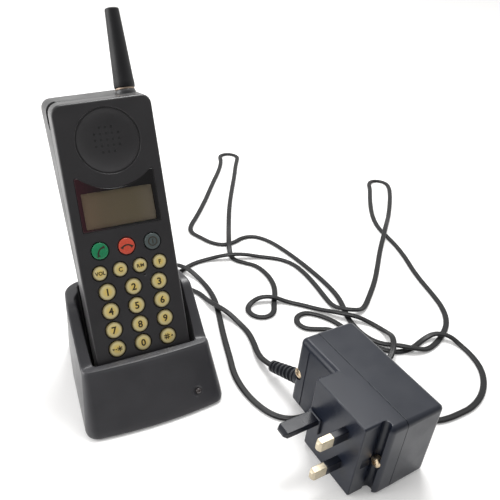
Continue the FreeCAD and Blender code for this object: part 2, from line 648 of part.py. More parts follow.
# ---------------------------------------------------------------- cord
# From the gland at the back of the cradle to the adapter's strain relief. A point without a
# height lies on the table.
ROUTE = [
    (2, 37, OVER_TWO), (2.4, 46, 5.2), (4.5, 58, 2), (11, 72), (24, 84), (40, 90), (55, 87.5),
    (64.5, 80, OVER), (71, 70, OVER), (75, 59), (76, 47), (75.5, 36), (73.5, 25), (69.5, 11),
    (65.5, -2), (62, -15), (58.5, -29), (54.5, -43), (53.8, -57), (55.5, -70), (60, -82),
    (67.5, -89), (77, -90.8), (86.5, -89), (96, -86.5), (106, -85.5), (116, -87), (125, -92),
    (131.5, -100), (134.5, -109.5), (138.5, -118), (146, -124.4), (155, -126), (164, -125.7),
    (174, -125), (186, -120.5), (197, -112), (205, -101), (208.5, -88), (208.5, -77),
    (205.5, -69, OVER), (197.5, -62.5, OVER), (187, -63), (177.5, -66.5), (168.5, -67.5),
    (160.5, -65), (154, -58), (149, -48), (146, -39), (144, -29), (141, -20.5), (135.5, -12.2),
    (128.5, -6.2), (120.7, -7.4), (116.4, -14), (118.7, -21.6), (126.1, -25.2), (135, -28.9),
    (138.2, -36.8), (134.5, -48), (133.5, -61), (139, -71.5), (149, -74, 3),
    (158.5, -67.5, OVER_TWO), (166.5, -56.5, OVER_TWO), (169, -45), (165.5, -34.5),
    (158, -27, OVER), (148, -18.5, OVER), (139, -6.5), (131, 2), (122, 10), (114, 15.5, OVER),
    (104.5, 19, OVER), (96, 17.8), (90.9, 11.3), (92.5, 3.3), (99.6, -0.8), (107.6, 1.8),
    (112.8, 12.2), (119, 21.5), (124, 33), (125.5, 47), (123, 60), (116, 67), (110.5, 73),
    (110.5, 81), (114, 91, OVER), (119.5, 103, OVER), (128, 121), (142, 150), (158, 179),
    (175, 208), (187, 230.2), (194, 241.5), (198, 248.2), (197.2, 254.6), (192.6, 259),
    (186.2, 259.6), (180.9, 255.8), (178.2, 246), (168.2, 228.2), (147.2, 199.4), (129, 173),
    (110, 148), (98, 134), (94.5, 124), (98.6, 115), (103.5, 103.5), (111.5, 96.6), (121.5, 96.8),
    (132, 102), (142, 100), (149.5, 90), (154, 75), (157.5, 57), (160, 38), (161.5, 19), (161, 2),
    (157.5, -11), (153.5, -22), (152, -32), (152.5, -41), (154.5, -49), (159.5, -56),
    (166, -63.5, OVER), (173.5, -70, OVER), (184, -72.5), (195, -69), (205, -63.5), (214, -57),
    (221, -48.5), (226.5, -37), (230, -23), (233, -7), (237.2, 9.6), (242.8, 25.6), (247, 42),
    (249, 57), (250.5, 72), (256, 88), (266, 106), (278, 124), (289, 139), (294.5, 149),
    (300.6, 153.2), (307.7, 151.9), (311.8, 146), (311, 138.8), (304.3, 127.2), (288, 106),
    (271, 86), (256, 70.5, OVER), (244, 57.5, OVER), (230, 43), (214.6, 25.2), (199.4, 8),
    (184, -6.4), (170.5, -18.4), (161.5, -20.9, OVER), (154, -16.4, OVER), (150.5, -7), (151.5, 6),
    (153, 21), (153.5, 37), (151.5, 52), (144, 62.5), (132, 70), (118, 75, OVER), (104, 78.5, OVER),
    (91, 82), (79, 80.5), (69, 76), (60.5, 69.5), (57.5, 60.5), (62, 51.5), (67.5, 43.5),
    (69.5, 34), (70, 24.5, OVER), (75.5, 12.5, OVER), (79.5, 1.5), (81, -10), (79.5, -21),
    (76.5, -32, 2.2), (75.2, -42.2, 4.4),
]


def cord_points():
    """The route in full, ending inside the mouth of the strain relief."""
    points = [Vec(p[0], p[1], p[2] if len(p) > 2 else CORD_Z) for p in ROUTE]
    return points + [LYING.multVec(Vec(*RELIEF_TIP))]


def cord():
    """Straight runs joined by tangent arcs, each as large as its two runs allow."""
    points = cord_points()
    edges, radii, start = [], [], points[0]
    for before, here, after in zip(points, points[1:], points[2:]):
        back, ahead = before - here, after - here
        half = (math.pi - back.getAngle(ahead)) / 2
        reach = 0.45 * min(back.Length, ahead.Length)
        back, ahead = back.normalize(), ahead.normalize()
        radius = reach / math.tan(half)
        radii.append((round(radius, 1), tuple(round(c, 1) for c in here)))
        first, last = here + back * reach, here + ahead * reach
        middle = here + (back + ahead).normalize() * (radius / math.cos(half) - radius)
        edges.append(Part.LineSegment(start, first).toShape())
        edges.append(Part.Arc(first, middle, last).toShape())
        start = last
    edges.append(Part.LineSegment(start, points[-1]).toShape())
    path = Part.Wire(edges)
    ring = Part.Circle(points[0], points[1] - points[0], CORD_D / 2).toShape()
    tube = path.makePipeShell([Part.Wire(ring)], True, True)
    print("cord: length %.0f mm, smallest radii %s" % (path.Length, sorted(radii)[:12]))
    print("cord: volume %.0f, section times length %.0f, valid %s" % (
        tube.Volume, math.pi * CORD_D ** 2 / 4 * path.Length, tube.isValid()))
    return tube


# ---------------------------------------------------------------- write every piece
def main():
    pieces = {}
    pieces.update(handset_pieces())
    pieces.update(cradle_pieces())
    pieces.update(adapter_pieces())
    pieces["supply_cord"] = cord()
    os.makedirs("parts", exist_ok=True)
    whole = FreeCAD.BoundBox()
    for name, shape in pieces.items():
        shape.exportStep("parts/%s.step" % name)
        if not shape.isValid():
            print("NOT VALID", name)
        whole.add(shape.BoundBox)
    print(len(pieces), "pieces", whole)


main()
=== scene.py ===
import bmesh
import bpy
import math
import numpy as np
from mathutils import Matrix, Vector


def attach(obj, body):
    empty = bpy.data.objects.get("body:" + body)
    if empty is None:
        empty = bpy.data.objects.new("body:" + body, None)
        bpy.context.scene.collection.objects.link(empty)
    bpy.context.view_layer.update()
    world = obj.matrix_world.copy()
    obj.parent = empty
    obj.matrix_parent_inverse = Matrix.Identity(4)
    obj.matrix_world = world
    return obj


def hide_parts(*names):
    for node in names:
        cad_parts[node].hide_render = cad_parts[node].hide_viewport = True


# The dressed model of a portable telephone in its desk charging cradle, with its mains adapter.
# Shapes are worked out in millimetres, in the handset's, the cradle's or the adapter's own axes,
# and placed in the part's frame in metres by leant, upright or lying.

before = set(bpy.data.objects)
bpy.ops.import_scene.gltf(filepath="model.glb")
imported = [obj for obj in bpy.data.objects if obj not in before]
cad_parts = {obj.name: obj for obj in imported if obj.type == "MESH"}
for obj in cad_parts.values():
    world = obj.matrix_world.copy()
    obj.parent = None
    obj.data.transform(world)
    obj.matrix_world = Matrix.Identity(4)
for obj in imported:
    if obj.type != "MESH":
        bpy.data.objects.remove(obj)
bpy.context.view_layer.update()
MM = 0.001

# ---------------------------------------------------------------- camera
EYE = (-0.08706, -0.30583, 0.28059)
EYE_RIGHT = (0.89094, -0.44955, 0.06423)
EYE_UP = (0.19209, 0.50124, 0.84372)
EYE_FORWARD = (0.41149, 0.73937, -0.53293)

camera_data = bpy.data.cameras.new("camera")
camera_data.sensor_width = 36.0
camera_data.lens = 46.67
camera_data.clip_end = 20.0
camera = bpy.data.objects.new("camera", camera_data)
bpy.context.scene.collection.objects.link(camera)
turn = Matrix((EYE_RIGHT, EYE_UP, [-v for v in EYE_FORWARD])).transposed().to_4x4()
camera.matrix_world = Matrix.Translation(EYE) @ turn
bpy.context.scene.camera = camera

# ---------------------------------------------------------------- places
LEAN = math.radians(26.0)
HANDSET_AT = (0.0, -44.3, 15.3)
ADAPTER_TURN = math.radians(-85.5)
ADAPTER_TILT = math.radians(2.75)
TILT_ABOUT = (15.0, -2.0)
ADAPTER_AT = (68.85, -134.3, 2.003)


def upright(points):
    """The cradle's axes are the part's: millimetres to metres."""
    return np.asarray(points, float) * MM


def leant(points):
    """Handset axes (across, depth, height) turned back about X by the lean, then moved."""
    x, y, z = np.moveaxis(np.asarray(points, float), -1, 0)
    c, s = math.cos(LEAN), math.sin(LEAN)
    return np.stack([x, y * c + z * s + HANDSET_AT[1], z * c - y * s + HANDSET_AT[2]], -1) * MM


def lying(points):
    """Adapter axes (along, away from the pins, up) tipped about the foot of its right end, so
    that its left end lies on the cord, then turned about Z and moved."""
    x, y, z = np.moveaxis(np.asarray(points, float), -1, 0)
    c, s = math.cos(ADAPTER_TILT), math.sin(ADAPTER_TILT)
    x, z = x - TILT_ABOUT[0], z - TILT_ABOUT[1]
    x, z = x * c + z * s + TILT_ABOUT[0], z * c - x * s + TILT_ABOUT[1]
    c, s = math.cos(ADAPTER_TURN), math.sin(ADAPTER_TURN)
    return np.stack([x * c - y * s, x * s + y * c, z], -1) * MM + np.array(ADAPTER_AT) * MM


# ---------------------------------------------------------------- shapes
def rounded(points, radii, steps=6):
    """Closed outline: each corner of a polygon replaced by an arc tangent to its two sides."""
    points = np.asarray(points, float)
    out = []
    for i, corner in enumerate(points):
        back, ahead = points[i - 1] - corner, points[(i + 1) % len(points)] - corner
        back, ahead = back / np.linalg.norm(back), ahead / np.linalg.norm(ahead)
        half = (math.pi - math.acos(np.clip(back @ ahead, -1, 1))) / 2
        radius = max(radii[i], 1e-3)
        inward = (back + ahead) / np.linalg.norm(back + ahead)
        centre = corner + inward * radius / math.cos(half)
        start = corner + back * radius * math.tan(half) - centre
        end = corner + ahead * radius * math.tan(half) - centre
        share = np.linspace(0, 1, steps)[:, None]
        sweep = 2 * half
        out.append(centre + (start * np.sin((1 - share) * sweep) + end * np.sin(share * sweep))
                   / math.sin(sweep))
    return np.concatenate(out)


def resampled(outline, gap):
    """The closed outline with points added on its straight sides, no further apart than gap."""
    ahead = np.roll(outline, -1, 0)
    runs = np.linalg.norm(ahead - outline, axis=1)
    parts = []
    for a, b, run in zip(outline, ahead, runs):
        count = max(1, int(math.ceil(run / gap)))
        parts.append(a + (b - a) * np.arange(count)[:, None] / count)
    return np.concatenate(parts)


def rect(x0, x1, z0, z1, radius, inset=0.0, steps=6):
    """Rounded rectangle pulled in by an inset, its corners keeping their centres."""
    a, b, c, d = x0 + inset, x1 - inset, z0 + inset, z1 - inset
    r = max(radius - inset, 0.25)
    return rounded([(a, c), (b, c), (b, d), (a, d)], [r] * 4, steps)


def pulled_in(outline, sides, radius, inset):
    """A rounded rectangle's outline moved in by an inset, each point straight towards the nearest
    point of the box that joins the centres of its corners."""
    x0, x1, z0, z1 = sides
    centres = (x0 + radius, z0 + radius), (x1 - radius, z1 - radius)
    away = outline - np.clip(outline, *centres)
    length = np.maximum(np.linalg.norm(away, axis=1), 1e-6)[:, None]
    return outline - away / length * inset


def quarter(radius, steps=5):
    """Pairs (inset, distance from the face) along a quarter circle from the side to the face."""
    angle = np.linspace(0, math.pi / 2, steps)
    return list(zip(radius * (1 - np.cos(angle)), radius * (1 - np.sin(angle))))


def facing(outline, depth):
    """An outline of (x, z) points set at a depth y, one number or one for each point."""
    return np.stack([outline[:, 0], np.broadcast_to(depth, len(outline)), outline[:, 1]], -1)


def flat(outline, height):
    """An outline of (x, y) points set at a height z, one number or one for each point."""
    return np.stack([outline[:, 0], outline[:, 1], np.broadcast_to(height, len(outline))], -1)


def loft(rings, closed=True):
    """Quads between rings of equal count, row by row; a flat face closes each end."""
    rings = np.asarray(rings, float)
    rows, cols = rings.shape[:2]
    i = np.arange(rows - 1)[:, None] * cols
    j = np.arange(cols)[None, :]
    k = (j + 1) % cols
    faces = np.stack([i + j, i + k, i + cols + k, i + cols + j], -1).reshape(-1, 4).tolist()
    if closed:
        faces.append(list(range(cols))[::-1])
        faces.append(list(range((rows - 1) * cols, rows * cols)))
    return rings.reshape(-1, 3), faces


def turned(profile, centre=(0, 0, 0), axis=(0, 1, 0), steps=48):
    """Closed profile of (radius, height) points swept about an axis through the centre."""
    axis = np.asarray(axis, float) / np.linalg.norm(axis)
    side = np.cross(axis, (0, 0, 1.0) if abs(axis[2]) < 0.9 else (1.0, 0, 0))
    side /= np.linalg.norm(side)
    up = np.cross(axis, side)
    profile = np.asarray(profile, float)
    angle = np.arange(steps) * 2 * math.pi / steps
    spoke = side * np.cos(angle)[:, None] + up * np.sin(angle)[:, None]
    rings = profile[:, 0, None, None] * spoke + profile[:, 1, None, None] * axis
    return loft(rings + np.asarray(centre, float))


def block(x0, x1, y0, y1, z0, z1, radius=0.4):
    """A box along z with rounded upright edges and softened ends."""
    outline = [rect(x0, x1, y0, y1, radius, i, 4) for i in (radius * 0.5, 0, 0, radius * 0.5)]
    heights = (z0, z0 + radius * 0.5, z1 - radius * 0.5, z1)
    return loft([flat(o, z) for o, z in zip(outline, heights)])


def joined(parts):
    """Several (points, faces) parts as one."""
    points, faces, start = [], [], 0
    for verts, polygons in parts:
        points.append(verts)
        faces += [[v + start for v in polygon] for polygon in polygons]
        start += len(verts)
    return np.concatenate(points), faces


def mesh_object(name, part, place):
    """An object at the origin whose mesh is the part put in place, its faces turned outwards."""
    points, faces = part
    mesh = bpy.data.meshes.new(name)
    mesh.from_pydata(place(points).tolist(), [], faces)
    mesh.update()
    work = bmesh.new()
    work.from_mesh(mesh)
    bmesh.ops.recalc_face_normals(work, faces=work.faces)
    work.to_mesh(mesh)
    work.free()
    thing = bpy.data.objects.new(name, mesh)
    bpy.context.scene.collection.objects.link(thing)
    return thing


def applied(thing):
    """Replaces an object's mesh by its evaluated mesh and drops its modifiers."""
    graph = bpy.context.evaluated_depsgraph_get()
    mesh = bpy.data.meshes.new_from_object(thing.evaluated_get(graph))
    thing.modifiers.clear()
    thing.data = mesh
    return thing


def filled(data):
    """Points and faces of the mesh that a curve or a text makes."""
    thing = bpy.data.objects.new("filled", data)
    bpy.context.scene.collection.objects.link(thing)
    graph = bpy.context.evaluated_depsgraph_get()
    graph.update()
    mesh = bpy.data.meshes.new_from_object(thing.evaluated_get(graph))
    points = np.empty(len(mesh.vertices) * 3)
    mesh.vertices.foreach_get("co", points)
    bpy.data.objects.remove(thing)
    return points.reshape(-1, 3), [list(polygon.vertices) for polygon in mesh.polygons]


def carve(thing, parts, place, operation="DIFFERENCE"):
    """Cuts closed parts out of an object, or adds them to it, with an exact boolean."""
    tool = mesh_object("tool", joined(parts), place)
    change = thing.modifiers.new("carve", "BOOLEAN")
    change.operation = operation
    change.solver = "EXACT"
    change.object = tool
    applied(thing)
    bpy.data.objects.remove(tool)
    return thing


def finished(thing, material, body, nodes=(), sharp=35, weighted=True):
    """Shades and paints the piece, puts it on its body and lets it stand for its nodes."""
    mesh = thing.data
    mesh.polygons.foreach_set("use_smooth", [True] * len(mesh.polygons))
    mesh.set_sharp_from_angle(angle=math.radians(sharp))
    if weighted:
        change = thing.modifiers.new("weighted", "WEIGHTED_NORMAL")
        change.keep_sharp = True
    mesh.materials.clear()
    mesh.materials.append(material)
    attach(thing, body)
    if nodes:
        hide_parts(*nodes)
    return thing


# ---------------------------------------------------------------- materials
def material(name, colour, rough, metal=0.0, **sockets):
    """A Principled material and its tree, with the sockets that are the same all over."""
    made = bpy.data.materials.new(name)
    made.use_nodes = True
    shader = made.node_tree.nodes["Principled BSDF"]
    shader.inputs["Base Color"].default_value = (*colour, 1)
    shader.inputs["Roughness"].default_value = rough
    shader.inputs["Metallic"].default_value = metal
    for socket, value in sockets.items():
        shader.inputs[socket.replace("_", " ")].default_value = value
    return made


def noise(made, scale, detail=2.0, stretch=(1, 1, 1)):
    """Noise on the object's own coordinates, in features per metre."""
    nodes, links = made.node_tree.nodes, made.node_tree.links
    where = nodes.new("ShaderNodeTexCoord")
    spread = nodes.new("ShaderNodeMapping")
    spread.inputs["Scale"].default_value = stretch
    links.new(where.outputs["Object"], spread.inputs["Vector"])
    cloud = nodes.new("ShaderNodeTexNoise")
    cloud.inputs["Scale"].default_value = scale
    cloud.inputs["Detail"].default_value = detail
    links.new(spread.outputs["Vector"], cloud.inputs["Vector"])
    return cloud.outputs["Fac"]


def ramp(made, source, low, high, start=0.3, end=0.7):
    """A value or colour that runs from low to high as the source goes from start to end."""
    nodes, links = made.node_tree.nodes, made.node_tree.links
    if np.ndim(low):
        node = nodes.new("ShaderNodeValToRGB")
        node.color_ramp.elements[0].position = start
        node.color_ramp.elements[0].color = (*low, 1)
        node.color_ramp.elements[1].position = end
        node.color_ramp.elements[1].color = (*high, 1)
        links.new(source, node.inputs["Fac"])
        return node.outputs["Color"]
    node = nodes.new("ShaderNodeMapRange")
    node.inputs["From Min"].default_value = start
    node.inputs["From Max"].default_value = end
    node.inputs["To Min"].default_value = low
    node.inputs["To Max"].default_value = high
    links.new(source, node.inputs["Value"])
    return node.outputs["Result"]


def across(made, start, end, stops):
    """A colour along X that passes (position, colour) stops, 0 at start and 1 at end, in metres."""
    nodes, links = made.node_tree.nodes, made.node_tree.links
    where = nodes.new("ShaderNodeTexCoord")
    split = nodes.new("ShaderNodeSeparateXYZ")
    links.new(where.outputs["Object"], split.inputs["Vector"])
    share = ramp(made, split.outputs["X"], 0.0, 1.0, start, end)
    (first, low), (last, high) = stops[0], stops[-1]
    colours = ramp(made, share, low, high, first, last)
    for position, colour in stops[1:-1]:
        colours.node.color_ramp.elements.new(position).color = (*colour, 1)
    return colours


def bump(made, source, strength, distance):
    """Bump of a height given in metres, joined to the shader's normal."""
    nodes, links = made.node_tree.nodes, made.node_tree.links
    node = nodes.new("ShaderNodeBump")
    node.inputs["Strength"].default_value = strength
    node.inputs["Distance"].default_value = distance
    links.new(source, node.inputs["Height"])
    links.new(node.outputs["Normal"], nodes["Principled BSDF"].inputs["Normal"])


def tint(made, source, socket="Base Color"):
    """Feeds a socket of the material's shader, its colour unless another is named."""
    made.node_tree.links.new(source, made.node_tree.nodes["Principled BSDF"].inputs[socket])


def plastic(name, colour, rough, grain=0.00005, fine=3200, mottle=0.12, handling=0.06, **sockets):
    """Moulded plastic: fine spark grain, a slow drift of colour and patches handled smooth."""
    made = material(name, colour, rough, **sockets)
    dark = [c * (1 - mottle) for c in colour]
    pale = [min(1, c * (1 + mottle)) for c in colour]
    tint(made, ramp(made, noise(made, 45, 3.0), dark, pale))
    tint(made, ramp(made, noise(made, 80, 4.0), rough - handling, rough + handling), "Roughness")
    bump(made, noise(made, fine, 1.0), 0.5, grain)
    return made


def metal(name, colour, rough, dullness=0.62):
    """Worn metal: streaked roughness and patches dulled to a share of the colour."""
    made = material(name, colour, rough, metal=1.0)
    dull = [c * dullness for c in colour]
    tint(made, ramp(made, noise(made, 420, 5.0), dull, colour, 0.32, 0.62))
    streaks = noise(made, 6, 4.0, stretch=(400, 60, 400))
    tint(made, ramp(made, streaks, rough - 0.08, rough + 0.15), "Roughness")
    bump(made, streaks, 0.25, 0.00002)
    return made


# Each plastic: colour, roughness, grain height in metres, grain per metre, mottle, handling.
SHINY = {"Specular_IOR_Level": 0.62, "Sheen_Weight": 0.08, "Sheen_Roughness": 0.35}
GLARING = dict(SHINY, Sheen_Weight=0.2)
CASED = dict(SHINY, Specular_IOR_Level=0.38, Sheen_Weight=0.0)
HANDSET = plastic("handset plastic", (0.0155, 0.0145, 0.0165),
                  0.36, 0.00003, 3600, 0.1, 0.05, **GLARING)
HANDSET_BACK = plastic("handset shell plastic", (0.017, 0.017, 0.019),
                       0.36, 0.00004, 3000, 0.1, **SHINY)
PACK = plastic("battery case plastic", (0.016, 0.016, 0.018), 0.42, 0.00006, 2600, 0.1, **SHINY)
CRADLE = plastic("cradle plastic", (0.029, 0.0285, 0.033), 0.38, 0.00005, 2400, 0.1, **GLARING)
ADAPTER = plastic("adapter plastic", (0.0075, 0.0105, 0.020),
                  0.33, 0.00002, 2800, 0.08, 0.05, **CASED)
ADAPTER_BACK = plastic("adapter back plastic", (0.0105, 0.0135, 0.0225),
                       0.34, 0.00003, 2400, 0.08, **CASED)
RUBBER = plastic("boot rubber", (0.014, 0.016, 0.021), 0.42, 0.00003, 1800, 0.1)
MAST = plastic("aerial rubber", (0.005, 0.005, 0.0065), 0.46, 0.00003, 1500, 0.12,
               Specular_IOR_Level=0.35)
COLLAR = plastic("aerial collar plastic", (0.026, 0.026, 0.029), 0.3, 0.00002, 2500, 0.08, **SHINY)
FOOT = plastic("foot rubber", (0.014, 0.014, 0.014), 0.75, 0.00008, 1400, 0.2)
MAT = plastic("keypad rubber", (0.42, 0.40, 0.34), 0.7, 0.00005, 1400, 0.1)
GREEN = plastic("green key", (0.010, 0.215, 0.088), 0.26, 0.00002, 2000, 0.1)
RED = plastic("red key", (0.60, 0.075, 0.040), 0.26, 0.00002, 2000, 0.1)
GREY = plastic("grey key", (0.075, 0.095, 0.095), 0.28, 0.00002, 2000, 0.1)
PIN_BLACK = plastic("pin sleeve plastic", (0.004, 0.0055, 0.011), 0.30, 0.00002, 2500, 0.1,
                    Specular_IOR_Level=0.38)
INK = plastic("legend ink", (0.022, 0.014, 0.005), 0.5, 0.00001, 2500, 0.2)
BOARD = plastic("board", (0.02, 0.12, 0.05), 0.4, 0.00003, 900, 0.25)
DARK = plastic("dark mesh", (0.006, 0.006, 0.007), 0.6, 0.00005, 1500, 0.2)
CELL = plastic("cell sleeve", (0.03, 0.08, 0.22), 0.35, 0.00002, 1500, 0.1)
LAMP = plastic("lamp lens", (0.030, 0.022, 0.022), 0.15, 0.0, 900, 0.1, 0.04, Coat_Weight=0.6)
# Each metal: colour, roughness, and the share of the colour that the dulled patches keep.
BRASS = metal("pin metal", (0.60, 0.53, 0.40), 0.38, 0.86)
SCREW = metal("screw metal", (0.72, 0.58, 0.40), 0.28, 0.75)
STEEL = metal("steel", (0.55, 0.55, 0.56), 0.35)
GOLD = metal("ring metal", (0.42, 0.33, 0.26), 0.45, 0.8)
COPPER = metal("winding wire", (0.62, 0.27, 0.14), 0.35)


def bezel_material():
    """Glossy black border; the deep red that fades out from its left side is a painted reflection.
    """
    made = material("lens border", (0.004, 0.003, 0.004), 0.08, Specular_IOR_Level=0.4)
    # Painted reflection: dark red near the left end, fading to plain black towards the right.
    stops = ((0.20, (0.030, 0.006, 0.010)), (0.62, (0.004, 0.0035, 0.004)))
    tint(made, across(made, -0.030, 0.010, stops))
    return made


def key_material():
    """Cream plastic by the share of the key's radius: yellower in the middle, with a painted
    highlight that makes it paler towards the rim and painted shade at the very edge, where the key
    sits in its well."""
    made = material("cream key", (0.66, 0.55, 0.24), 0.34)
    rim = made.node_tree.nodes.new("ShaderNodeAttribute")
    rim.attribute_name = "rim"
    # The cream of the middle, then a painted highlight towards the rim and painted shade at the
    # edge.
    colours = ramp(made, rim.outputs["Fac"], (0.68, 0.51, 0.135), (0.60, 0.52, 0.27), 0.30, 0.78)
    colours.node.color_ramp.elements.new(0.97).color = (0.16, 0.125, 0.045, 1)
    tint(made, colours)
    tint(made, ramp(made, noise(made, 300, 3.0), 0.3, 0.4), "Roughness")
    bump(made, noise(made, 1500, 1.0), 0.3, 0.00001)
    return made


def display_material():
    """Liquid crystal panel: warm grey-olive with a faint cell mottle; its paler, redder left end
    and paler right end are painted reflections on the window.
    """
    made = material("display panel", (0.14, 0.11, 0.065), 0.22)
    # Painted reflections: paler and redder at the left end, paler again at the right end.
    stops = ((0.0, (0.25, 0.172, 0.112)), (0.3, (0.178, 0.137, 0.087)),
             (0.7, (0.168, 0.136, 0.084)), (1.0, (0.21, 0.176, 0.13)))
    tint(made, across(made, -0.022, 0.022, stops))
    bump(made, noise(made, 500, 2.0), 0.1, 0.00002)
    return made


def lens_material():
    """Clear smoky window: mostly see-through, with a polished surface."""
    made = material("display window", (0.010, 0.009, 0.008), 0.06, Alpha=0.12)
    tint(made, ramp(made, noise(made, 60, 2.0), 0.04, 0.08), "Roughness")
    made.surface_render_method = "BLENDED"
    return made


def cord_material():
    """Smooth black cord sheath, a little paler where it is rubbed."""
    made = material("cord sheath", (0.005, 0.0055, 0.006), 0.38, Specular_IOR_Level=0.32)
    tint(made, ramp(made, noise(made, 90, 3.0), (0.004, 0.0042, 0.005), (0.007, 0.0072, 0.008)))
    tint(made, ramp(made, noise(made, 200, 3.0), 0.32, 0.46), "Roughness")
    bump(made, noise(made, 1200, 2.0), 0.3, 0.00003)
    return made


BEZEL = bezel_material()
CREAM = key_material()
DISPLAY = display_material()
WINDOW = lens_material()
SHEATH = cord_material()

# ---------------------------------------------------------------- cord
CORD_WIDE = 4.0
CORD_HIGH = 2.0
# Heights of the cord's middle: on the table, over one cord, and over two or at the gland.
CORD_Z = 1.1
OVER = 4.1
OVER_TWO = 6.2
ROUTE = [
    (2, 37, OVER_TWO), (2.4, 46, 5.2), (4.5, 58, 2), (11, 72), (24, 84), (40, 90), (55, 87.5),
    (64.5, 80, OVER), (71, 70, OVER), (75, 59), (76, 47), (75.5, 36), (73.5, 25), (69.5, 11),
    (65.5, -2), (62, -15), (58.5, -29), (54.5, -43), (53.8, -57), (55.5, -70), (60, -82),
    (67.5, -89), (77, -90.8), (86.5, -89), (96, -86.5), (106, -85.5), (116, -87), (125, -92),
    (131.5, -100), (134.5, -109.5), (138.5, -118), (146, -124.4), (155, -126), (164, -125.7),
    (174, -125), (186, -120.5), (197, -112), (205, -101), (208.5, -88), (208.5, -77),
    (205.5, -69, OVER), (197.5, -62.5, OVER), (187, -63), (177.5, -66.5), (168.5, -67.5),
    (160.5, -65), (154, -58), (149, -48), (146, -39), (144, -29), (141, -20.5), (135.5, -12.2),
    (128.5, -6.2), (120.7, -7.4), (116.4, -14), (118.7, -21.6), (126.1, -25.2), (135, -28.9),
    (138.2, -36.8), (134.5, -48), (133.5, -61), (139, -71.5), (149, -74, 3),
    (158.5, -67.5, OVER_TWO), (166.5, -56.5, OVER_TWO), (169, -45), (165.5, -34.5),
    (158, -27, OVER), (148, -18.5, OVER), (139, -6.5), (131, 2), (122, 10), (114, 15.5, OVER),
    (104.5, 19, OVER), (96, 17.8), (90.9, 11.3), (92.5, 3.3), (99.6, -0.8), (107.6, 1.8),
    (112.8, 12.2), (119, 21.5), (124, 33), (125.5, 47), (123, 60), (116, 67), (110.5, 73),
    (110.5, 81), (114, 91, OVER), (119.5, 103, OVER), (128, 121), (142, 150), (158, 179),
    (175, 208), (187, 230.2), (194, 241.5), (198, 248.2), (197.2, 254.6), (192.6, 259),
    (186.2, 259.6), (180.9, 255.8), (178.2, 246), (168.2, 228.2), (147.2, 199.4), (129, 173),
    (110, 148), (98, 134), (94.5, 124), (98.6, 115), (103.5, 103.5), (111.5, 96.6), (121.5, 96.8),
    (132, 102), (142, 100), (149.5, 90), (154, 75), (157.5, 57), (160, 38), (161.5, 19), (161, 2),
    (157.5, -11), (153.5, -22), (152, -32), (152.5, -41), (154.5, -49), (159.5, -56),
    (166, -63.5, OVER), (173.5, -70, OVER), (184, -72.5), (195, -69), (205, -63.5), (214, -57),
    (221, -48.5), (226.5, -37), (230, -23), (233, -7), (237.2, 9.6), (242.8, 25.6), (247, 42),
    (249, 57), (250.5, 72), (256, 88), (266, 106), (278, 124), (289, 139), (294.5, 149),
    (300.6, 153.2), (307.7, 151.9), (311.8, 146), (311, 138.8), (304.3, 127.2), (288, 106),
    (271, 86), (256, 70.5, OVER), (244, 57.5, OVER), (230, 43), (214.6, 25.2), (199.4, 8),
    (184, -6.4), (170.5, -18.4), (161.5, -20.9, OVER), (154, -16.4, OVER), (150.5, -7), (151.5, 6),
    (153, 21), (153.5, 37), (151.5, 52), (144, 62.5), (132, 70), (118, 75, OVER), (104, 78.5, OVER),
    (91, 82), (79, 80.5), (69, 76), (60.5, 69.5), (57.5, 60.5), (62, 51.5), (67.5, 43.5),
    (69.5, 34), (70, 24.5, OVER), (75.5, 12.5, OVER), (79.5, 1.5), (81, -10), (79.5, -21),
    (76.5, -32, 2.2), (75.2, -42.2, 4.4),
]
RELIEF_ROOT = (-57.2, 17.0, 12.0)
RELIEF_TIP = (-81.8, 14.2, 0.8)


def route_points():
    """The route's controls in metres, at the usual height where none is given, then the tip of
    the adapter's boot."""
    points = [(p[0], p[1], p[2] if len(p) > 2 else CORD_Z) for p in ROUTE]
    return np.concatenate([upright(points), lying([RELIEF_TIP])])


def spline_points(points):
    """Points along a NURBS spline of order 3 that has the route's points as its controls."""
    curve = bpy.data.curves.new("route", "CURVE")
    curve.dimensions = "3D"
    spline = curve.splines.new("NURBS")
    spline.points.add(len(points) - 1)
    spline.points.foreach_set("co", np.column_stack([points, np.ones(len(points))]).ravel())
    spline.order_u = 3
    spline.use_endpoint_u = True
    spline.resolution_u = 7
    line, _ = filled(curve)
    keep = np.concatenate([[True], np.linalg.norm(np.diff(line, axis=0), axis=1) > 1e-5])
    return line[keep]


def twin_section():
    """Section of a flat twin cord: a squared ellipse, its height drawn in at the middle by a
    bell curve, so that two round cores lie side by side with a groove between them."""
    count, square, groove = 20, 0.8, 0.42
    angle = np.arange(count) * 2 * math.pi / count + math.pi / count
    along, up = np.cos(angle), np.sin(angle)
    wide = np.sign(along) * np.abs(along) ** square * CORD_WIDE / 2
    waist = 1 - groove * np.exp(-((wide / 0.5) ** 2))
    high = np.sign(up) * np.abs(up) ** square * CORD_HIGH / 2 * waist
    return np.stack([wide, high], -1) * MM


def lay_cord():
    """The section carried along the spline, its flat side kept level: at each point the side is
    square to the cord and to the vertical."""
    line = spline_points(route_points())
    ahead = np.gradient(line, axis=0)
    ahead /= np.linalg.norm(ahead, axis=1)[:, None]
    side = np.cross(ahead, (0.0, 0.0, 1.0))
    side /= np.linalg.norm(side, axis=1)[:, None]
    up = np.cross(side, ahead)
    section = twin_section()
    rings = (line[:, None] + side[:, None] * section[None, :, 0, None]
             + up[:, None] * section[None, :, 1, None])
    thing = mesh_object("supply_cord_sheath", loft(rings / MM), upright)
    finished(thing, SHEATH, "cradle", ["supply_cord"], 60, False)
    return thing, line


# ---------------------------------------------------------------- handset
# Half width, height, the sides they give, corner radius, the top's rise to the rear and across,
# the greatest and the least thickness, where the back bends, and the depth of the joint between
# cover and back.
HALF = 27.5
TALL = 159.0
SIDES = (-HALF, HALF, 0, TALL)
CORNER = 5.5
RISE = 7.5
TILT = 1.8
THICK = 29.5
SLIM = 12.5
BEND_AT = 62.0
SPLIT = 9.0
